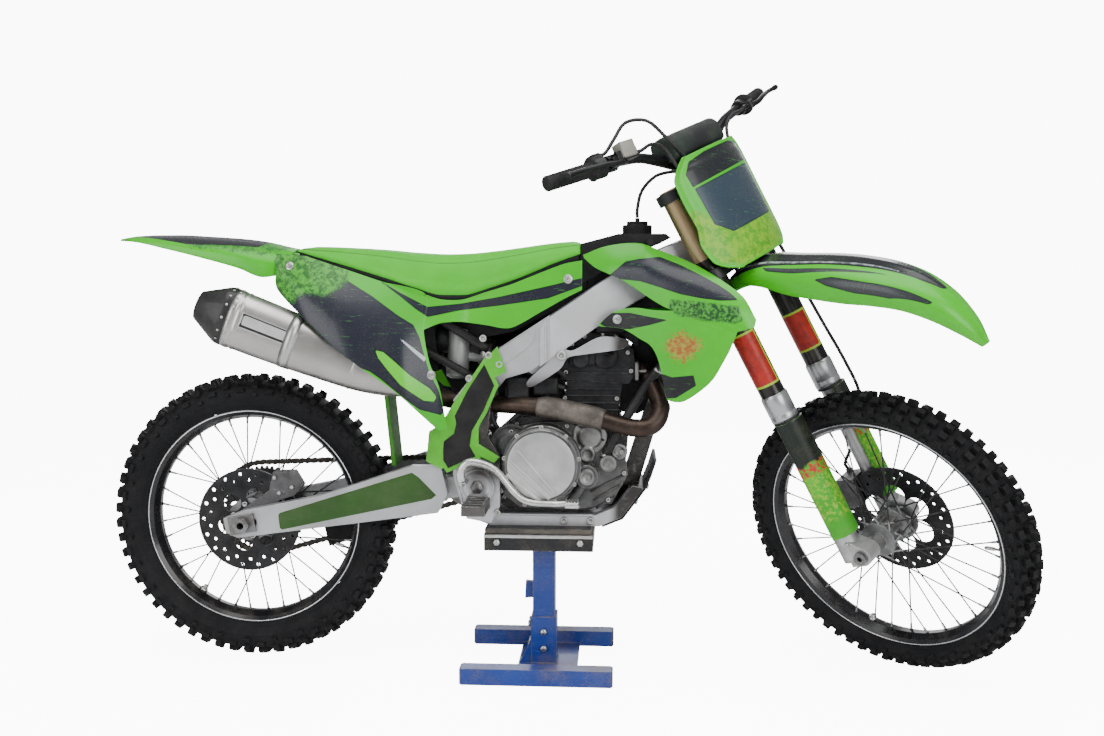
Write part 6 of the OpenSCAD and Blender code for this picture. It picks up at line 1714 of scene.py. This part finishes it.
front_bolts = [(fork_at @ (Vector(p) / 1000), fork_at.to_3x3() @ Vector((0, 1, 0)))
    for p in ((-48, 108.4, 74), (-50, 108.4, 108), (-28, 108.4, 118))]
add_piece(repeat("front_caliper_bolts", screw_head(0.0052, 0.005, False), front_bolts, zinc),
    "steering", "steel")

# ---------- Fork ----------
# Upside-down fork: black outer tubes turned down to bare metal at the seals and straw
# anodised between the clamps, cast feet, and a film band round each tube.
leg_lead, leg_y = 30, 98
fork_spots = [fork_at @ Matrix.Translation(mm(leg_lead, s * leg_y, 0)) for s in (-1, 1)]
tube_line = [(0.0245, 345), (0.0302, 345), (0.0310, 348), (0.0310, 358), (0.0298, 360),
    (0.0310, 362), (0.0310, 401), (0.0296, 405), (0.0281, 407)]
tube_line += [(0.0280, s) for s in range(412, 904, 12)] + [(0.0280, 906), (0.0265, 909),
    (0.0262, 911), (0.0225, 911.5), (0.0215, 908), (0.012, 908), (0.0115, 911.5), (0.0001, 911.8)]


def fork_bands(tree):
    """Seal housing, black anodising, then straw anodising, by height on the tube."""
    at = wire(tree, "ShaderNodeAttribute", {"attribute_name": "height"}).outputs["Fac"]
    rub = span(tree, cloud(tree, 18, 5, 0.7, (1, 1, 0.3)), 0.55, 0.75, 0, 0.5)
    silver = mix(tree, rub, (0.42, 0.42, 0.43), (0.16, 0.15, 0.14))
    black = mix(tree, rub, (0.022, 0.020, 0.018), (0.075, 0.060, 0.045))
    straw = mix(tree, rub, (0.33, 0.235, 0.12), (0.14, 0.10, 0.06))
    lower = mix(tree, span(tree, at, 0.4060, 0.4075), silver, black)
    return mix(tree, span(tree, at, 0.7395, 0.7410), lower, straw)


tube_black = finish("tube_black", (0.02, 0.02, 0.02), 0.30, 0.75, vary=(12, 0.6),
    grain=(700, 0.08), brush=((18, 18, 1), 24, 0.3), tint=fork_bands,
                    soil=((0.13, 0.11, 0.09), 0.25, 20), coat=0.25, rounded=0.0006)
outer = join_shapes("fork_tubes", [lathe([(r, h / 1000) for r, h in tube_line], 64, m)
    for m in fork_spots])
to_fork = fork_at.inverted()
set_field(outer, "height", [(to_fork @ v.co).z for v in outer.data.vertices])
add_piece(outer, "steering", "fork_tube", tube_black, "fork_outer_tubes")
dress("fork_sliders", finish("foot_cast", (0.52, 0.52, 0.52), 0.38, 0.85,
    second=(0.30, 0.29, 0.28), vary=(18, 0.9), grain=(260, 0.4),
                             wear=((0.75, 0.75, 0.75), 0.25, 1.0, 0.002, 0.6),
                             soil=((0.14, 0.12, 0.09), 0.45, 20), rounded=0.0025))


def guard_print(tree):
    """Green below, printed black at the top, with a broken yellow and red edge between."""
    at = wire(tree, "ShaderNodeTexCoord").outputs["Object"]
    along = wire(tree, "ShaderNodeVectorMath", {"operation": "DOT_PRODUCT"}, i0=at,
        i1=tuple(fork_at.to_3x3().col[2])).outputs["Value"]
    up = calc(tree, "SUBTRACT", along, float(fork_at.translation.dot(fork_at.to_3x3().col[2])))
    speck = cloud(tree, 130, 4, 0.7)
    green = mix(tree, span(tree, cloud(tree, 12, 4), 0.35, 0.7), (0.060, 0.44, 0.012),
        (0.035, 0.30, 0.010))
    yellow = calc(tree, "MULTIPLY", calc(tree, "MULTIPLY", span(tree, up, 0.09, 0.11),
        span(tree, speck, 0.50, 0.54)), 0.75)
    red = calc(tree, "MULTIPLY", calc(tree, "MULTIPLY", span(tree, up, 0.205, 0.215),
        span(tree, up, 0.245, 0.235)), span(tree, speck, 0.47, 0.51))
    base = mix(tree, red, mix(tree, yellow, green, (0.30, 0.50, 0.03)), (0.45, 0.03, 0.02))
    edge = calc(tree, "ADD", up, calc(tree, "MULTIPLY", calc(tree, "SUBTRACT", cloud(tree, 60, 4),
        0.5), 0.03))
    return mix(tree, span(tree, edge, 0.232, 0.240), base, (0.010, 0.014, 0.010))


dress("fork_guards", finish("guard_film", (0.06, 0.44, 0.012), 0.36, tint=guard_print,
    grain=(800, 0.2),
                            wear=((0.30, 0.55, 0.20), 0.6, 0.0, 0.003, 0.8),
                            soil=((0.16, 0.17, 0.08), 0.3, 20), rounded=0.002))
band_red = finish("band_red", (0.42, 0.022, 0.012), 0.34, second=(0.22, 0.012, 0.010),
    vary=(60, 0.9), grain=(700, 0.1), marks=0.3,
                  fields=[("frame", film((0.34, 0.52, 0.03), 0.36, 0.0, 0.0003))],
                  soil=((0.13, 0.11, 0.09), 0.2, 30), rounded=0)
band_mid, band_half, band_r, band_edge = -70, 82, 0.02835, 5.0
for name, m, s0, s1 in (("film_band_right", fork_spots[0], 430, 560),
        ("film_band_left", fork_spots[1], 439, 536)):
    rows, cols = 24, 40
    angles, heights = np.radians(np.linspace(band_mid - band_half, band_mid + band_half,
        cols)), np.linspace(s0, s1, rows)
    verts = [m @ Vector((band_r * math.cos(a), band_r * math.sin(a), h / 1000)) for h in heights
        for a in angles]
    faces = [(i * cols + k, i * cols + k + 1, (i + 1) * cols + k + 1, (i + 1) * cols + k)
        for i in range(rows - 1) for k in range(cols - 1)]
    piece = new_piece(name, verts, faces)
    rim_gap = [min((h - s0), (s1 - h), (a - angles[0]) * 28, (angles[-1] - a) * 28)
        for h in heights for a in angles]
    set_field(piece, "frame", [(band_edge - g) / 1000 for g in rim_gap])
    add_piece(piece, "steering", "fork_tube", band_red)
foot_bolts = [(fork_at @ mm(x, s * 122.2, z), fork_at.to_3x3() @ Vector((0, s, 0)))
    for s in (-1, 1) for x, z in ((44, 34), (38, -8))]
add_piece(repeat("fork_screws", screw_head(0.0055, 0.004, True), foot_bolts, zinc), "steering",
    "steel")
seal = lathe([(0.0242, 0.338), (0.0296, 0.338), (0.0300, 0.3445), (0.0242, 0.3445)], 56,
    Matrix.Identity(4), True)
add_piece(join_shapes("dust_seals", [place(seal, m) for m in fork_spots]), "steering", "rubber",
    hose_rubber)

# ---------- Clamps, handlebar and grips ----------
# Black anodised clamps with pinch screws, a tapered black bar, moulded grips with ring ribs,
# and forged levers; the pad is foam in a coated cover.
clamp_black = finish("clamp_black", (0.018, 0.018, 0.020), 0.36, 0.6, second=(0.035, 0.034, 0.034),
    vary=(16, 0.8), grain=(400, 0.2),
                     wear=((0.35, 0.35, 0.35), 0.3, 0.9, 0.0015, 0.5),
                     soil=((0.12, 0.10, 0.08), 0.3, 20), rounded=0.0025)
dress("triple_clamps", clamp_black)
dress("hand_controls", clamp_black)
pinch = [(fork_at @ mm(59.5, s * y, z), fork_at.to_3x3() @ Vector((1, 0, 0))) for s in (-1, 1)
    for y in (76, 84) for z in (704, 898)]
pinch += [(fork_at @ mm(48 + dx, s * 42, 972), fork_at.to_3x3() @ Vector((0, 0, 1)))
    for s in (-1, 1) for dx in (-11, 11)]
add_piece(repeat("clamp_screws", screw_head(0.0052, 0.005, True), pinch, zinc), "steering", "steel")
half = [[48, 0, 958], [48, 40, 958], [48, 68, 958], [47.5, 112, 978], [46, 165, 1000],
    [42, 230, 1012]]
bar_way = Vector((-0.214, 0.971, 0.104))
bar_half, bend_y = 402, 230
reach = (bar_half - bend_y) / 0.971
one_side = [list(q) for q in rounded_line(half, 60)] + [[42 - 0.214 * reach * t,
    230 + 0.971 * reach * t, 1012 + 0.104 * reach * t] for t in np.linspace(0.02, 1, 20)]
bar_points = [[x, -y, z] for x, y, z in one_side[:0:-1]] + one_side
bar_radius = [float(np.interp(abs(y), [0, 72, 150, 402], [14, 14, 11, 11])) / 1000 for x, y,
    z in bar_points]
bar_black = finish("bar_black", (0.016, 0.016, 0.018), 0.32, 0.7, second=(0.03, 0.03, 0.03),
    vary=(14, 0.7), grain=(600, 0.08),
                   wear=((0.3, 0.3, 0.3), 0.3, 0.9, 0.001, 0.4),
                   soil=((0.11, 0.10, 0.08), 0.2, 22), rounded=0)
add_piece(new_piece("handlebar_tube", *tube([fork_at @ (Vector(p) / 1000) for p in bar_points],
    bar_radius, 28)), "steering", "black_metal", bar_black, "handlebar")


def bar_at(side):
    """Frame whose Z runs out along one end of the bar."""
    root, d = mm(42, side * 230, 1012), Vector((bar_way.x, side * bar_way.y,
        bar_way.z)).normalized()
    ahead = (Vector((1, 0, 0)) - d * d.x).normalized()
    return fork_at @ Matrix.Translation(root) @ Matrix((ahead, d.cross(ahead),
        d)).transposed().to_4x4()


end = reach * bar_way.length
grip_line = [(0.0112, 62.0), (0.0250, 62.0), (0.0255, 63.5), (0.0255, 65.5), (0.0240, 67.2),
    (0.0178, 67.8), (0.0168, 70)]
for h in np.arange(72.0, end - 8, 4.0):
    grip_line += [(0.0163, h), (0.0151, h + 0.7), (0.0151, h + 1.9), (0.0163, h + 2.6)]
grip_line += [(0.0163, end - 2), (0.0165, end + 1), (0.0150, end + 3.6), (0.0001, end + 4)]
add_piece(join_shapes("grip_sleeves", [lathe([(r, h / 1000) for r, h in grip_line], 48, bar_at(s))
    for s in (-1, 1)]), "steering", "rubber", grip_black, "grips")
shapes, lever_at = [], {}
for s, z in ((-1, 2), (1, 20)):
    root = mm(42, 230, 1012)
    d = bar_way.normalized()
    turn = Matrix.Rotation(math.atan2(d.y, d.x), 4, "Z") @ Matrix.Rotation(math.acos(d.z), 4,
        "Y") @ Matrix.Rotation(math.pi, 4, "Z")
    lever_at[s] = fork_at @ Matrix.Diagonal((1, s, 1,
        1)) @ Matrix.Translation(root) @ turn @ Matrix.Translation((0, 0, z / 1000))
    line = [lever_at[s] @ (Vector(q) / 1000) for q in rounded_line([[-8, 34, 0], [-10, 44, 26],
        [-6, 46, 60], [-4, 44, 110], [-6, 50, 158]], 30)]
    thick = [float(np.interp(t, [0, 0.2, 0.9, 0.95, 1], [7.0, 6.0, 5.3, 7.4, 5.6])) / 1000
        for t in np.linspace(0, 1, 30)]
    shapes.append(tube(line, thick, 18))
add_piece(join_shapes("hand_levers", shapes), "steering", "black_metal", bar_black)
pot = block((-0.0046, 0.0134, -0.0306), (0.0306, 0.0446, 0.0066), 0.003)
pot_verts, pot_faces = place(pot, lever_at[-1] @ Matrix.Translation((0, 0, -0.002)))
add_piece(new_piece("brake_reservoir", pot_verts, [list(f)[::-1] for f in pot_faces]), "steering",
    "black_metal",
          finish("pot_beige", (0.28, 0.27, 0.23), 0.5, 0.2, second=(0.19, 0.18, 0.155),
          vary=(20, 0.8), grain=(400, 0.3), soil=((0.14, 0.12, 0.09), 0.3, 30), rounded=0.002))
pad_line = [[x, z] for x, z in curved([[21, 975], [24, 1008], [38, 1018], [70, 1018], [86, 1002],
    [88, 971], [78, 960.5], [32, 960.5]], 64)]
verts, faces = [], []
stations = [(-94, 0.80), (-93, 0.90), (-90, 0.97), (-84, 1.0)] + [(y, 1.0) for y in range(-72, 73,
    12)] + [(84, 1.0), (90, 0.97), (93, 0.90), (94, 0.80)]
for y, size in stations:
    pinch_in = 1 - 0.02 * (1 if abs(y) == 60 else 0)
    verts += [fork_at @ mm(54 + (x - 54) * size * pinch_in, y, 989 + (z - 989) * size * pinch_in)
        for x, z in pad_line]
n = len(pad_line)
faces = [(i * n + k, i * n + (k + 1) % n, (i + 1) * n + (k + 1) % n, (i + 1) * n + k)
    for i in range(len(stations) - 1) for k in range(n)]
faces += [list(range(n))[::-1], [(len(stations) - 1) * n + k for k in range(n)]]
pad_piece = new_piece("bar_pad_cover", verts, faces)
bpy.context.view_layer.update()
pad_black = finish("pad_black", (0.014, 0.015, 0.016), 0.5, second=(0.03, 0.05, 0.035),
    vary=(9, 0.9), grain=(900, 0.35),
                   soil=((0.12, 0.10, 0.08), 0.25, 18), rounded=0)
add_piece(pad_piece, "steering", "black_plastic", pad_black, "bar_pad")

# ---------- Cables and hoses ----------
# Throttle and clutch cables, the front brake hose and the tank's vent hose, each drawn along
# its whole route, from its fitting to where it goes back into the machine.


def cord_piece(name, points, radius, body, exit_frame, *nodes):
    path = [exit_frame @ (Vector(q) / 1000) for q in rounded_line(points,
        4 * (len(points) - 1) + 1)]
    piece = new_piece(name, *tube(path, radius, 14))
    add_piece(piece, body, "rubber", hose_rubber, *nodes)
    long = sum((b - a).length for a, b in zip(path, path[1:]))
    return long


cord_piece("throttle_cable", [[35, -261.7, 1039.6], [39, -243.5, 1038], [50, -212, 1056],
    [62, -168, 1078], [80, -124, 1062], [91, -107, 1016], [93, -87, 975],
           [93, -71, 940], [92, -54, 905], [84, -32, 850], [66, -22, 822]], 0.004, "steering",
           fork_at, "control_cables")
cord_piece("clutch_cable", [[69.5, 225.9, 1007], [74, 205, 1004], [80, 160, 1002], [78, 126, 985],
    [76, 108, 950], [78, 90, 900], [78, 60, 860], [66, 24, 830]],
           0.004, "steering", fork_at)
cord_piece("front_brake_hose", [[76, -201.5, 1011.3], [80, -184, 1009], [84, -150, 1012],
    [84, -118, 992], [82, -104, 940], [82, -92, 860], [82, -50, 792], [80, 20, 768],
           [78, 80, 748], [74, 108, 700], [74, 114, 600], [74, 124, 480], [72, 136, 380],
           [60, 148, 290], [20, 150, 210], [-18, 128, 172], [-30, 98, 150],
           [-30, 98, 134.4]], 0.004, "steering", fork_at, "brake_hose")
cord_piece("tank_vent_hose", [[222, 0, 1049], [222, 0, 1070], [232, 0, 1110], [262, 0, 1142],
    [298, 0, 1152], [318, 0, 1150]], 0.004, "chassis", Matrix.Identity(4), "vent_hose")

# ---------- Seat ----------
# Foam under a grippy coated cover, swelled a little by cloth simulation over a moulded base;
# black piping runs round the lower edge and a fine seam below the top.
seat_table = [[-548, 980, 968, 66, 72], [-500, 980, 954, 70, 80], [-430, 978, 934, 74, 88],
    [-352, 974, 911, 76, 93], [-280, 968, 888, 77, 96],
              [-211, 965, 870, 77, 96], [-168, 966, 870, 76, 96], [-100, 972, 888, 73, 91],
              [-31, 981, 912, 68, 84], [40, 990, 942, 62, 76], [96, 994, 962, 56, 68]]


def seat_ring(x, shrink=1.0):
    """One section of the seat: flat below, sides leaning in, a rounded crown."""
    zt, zb, wt, wb = (float(steady(x, [[r[0], r[k]] for r in seat_table])) for k in (1, 2, 3, 4))
    side = [[wb - 6, zb], [wb, zb + 2], [wb + 1, zb + (zt - zb) * 0.3],
        [(wb + wt) / 2 + 3, zb + (zt - zb) * 0.68], [wt, zb + (zt - zb) * 0.9],
        [wt * 0.72, zt - 2], [wt * 0.3, zt], [0, zt]]
    right = [list(q) for q in rounded_line(side, 29)]
    loop_line = [[0, zb], [(wb - 6) / 2, zb]] + right + [[-y, z] for y,
        z in right[-2::-1]] + [[-(wb - 6) / 2, zb]]
    return [mm(x, y * shrink, zb + (z - zb) * shrink) for y, z in loop_line]


# the moulded base that the foam and its cover are stapled to
pan_rings = []
for x in np.linspace(-540, 92, 40):
    zb, wb = (float(steady(x, [[r[0], r[k]] for r in seat_table])) for k in (2, 4))
    pan_rings.append([mm(x, y, z) for y, z in ((-wb + 5, zb - 13), (wb - 5, zb - 13),
        (wb - 2.5, zb + 1), (wb - 5, zb + 6), (-wb + 5, zb + 6), (-wb + 2.5, zb + 1))])
add_piece(new_piece("seat_base", *ringed([ring[::-1] for ring in pan_rings]), smooth=False),
    "chassis", "black_plastic", moulded_black)
seat_x = np.linspace(-547, 95.5, 90)
verts = [v for x in seat_x for v in seat_ring(x, 0.975)]
n = len(verts) // len(seat_x)
faces = [(i * n + k, i * n + (k + 1) % n, (i + 1) * n + (k + 1) % n, (i + 1) * n + k)
    for i in range(len(seat_x) - 1) for k in range(n)]
faces += [list(range(n))[::-1], [(len(seat_x) - 1) * n + k for k in range(n)]]
foam = new_piece("seat_foam", verts, faces)
remesh = foam.modifiers.new("remesh", "REMESH")
remesh.mode, remesh.voxel_size = "VOXEL", 0.0055
keep_shape(foam)
before = np.array([v.co[:] for v in foam.data.vertices])
hold = foam.vertex_groups.new(name="hold")
floor_z = np.array([float(steady(x * 1000, [[r[0], r[2]] for r in seat_table])) / 1000
    for x in before[:, 0]])
hold.add([int(i) for i in np.nonzero(before[:, 2] < floor_z + 0.012)[0]], 1.0, "REPLACE")
cloth = foam.modifiers.new("cloth", "CLOTH")
cloth.settings.use_pressure, cloth.settings.uniform_pressure_force = True, 4.0
cloth.settings.quality, cloth.settings.mass = 5, 0.3
cloth.settings.tension_stiffness = cloth.settings.compression_stiffness = 20
cloth.settings.bending_stiffness = 0.6
cloth.settings.vertex_group_mass = "hold"
cloth.settings.effector_weights.gravity = 0
cloth.collision_settings.use_collision = False
for step in range(1, 21):
    bpy.context.scene.frame_set(step)
swollen = foam.evaluated_get(bpy.context.evaluated_depsgraph_get())
after = np.array([v.co[:] for v in swollen.data.vertices])
foam.modifiers.clear()
bpy.context.scene.frame_set(1)
move = after - before
size = np.linalg.norm(move, axis=1)
most = 0.0035
move *= (np.minimum(size, most) / np.maximum(size, 1e-9))[:, None]
foam.data.vertices.foreach_set("co", (before + move).ravel().astype(np.float32))
foam.data.update()
bpy.context.view_layer.update()
finer = foam.modifiers.new("finer", "SUBSURF")
finer.levels = finer.render_levels = 1
keep_shape(foam)
foam.data.shade_smooth()
co = np.array([v.co[:] for v in foam.data.vertices]) * 1000
top_z = steady(co[:, 0], [[r[0], r[1]] for r in seat_table])
low_z = steady(co[:, 0], [[r[0], r[2]] for r in seat_table])
piping_high, seam_half, seam_share = 5.5, 0.9, 0.80
seam_z = low_z + (top_z - low_z) * seam_share
set_field(foam, "low", (piping_high - (co[:, 2] - low_z)) / 1000)
set_field(foam, "seam", (seam_half - np.abs(co[:, 2] - seam_z)) / 1000)
seat_green = finish("seat_green", (0.060, 0.50, 0.012), 0.55, second=(0.045, 0.42, 0.010),
    vary=(7, 0.8), grain=(1300, 0.5),
                    fields=[("low", film((0.014, 0.014, 0.015), 0.6, 0.0, 0.0006)),
                    ("seam", film((0.035, 0.16, 0.012), 0.6, 0.0, 0.0006))],
                    soil=((0.20, 0.22, 0.10), 0.2, 9), rounded=0)
add_piece(foam, "chassis", "seat_cover", seat_green, "seat")
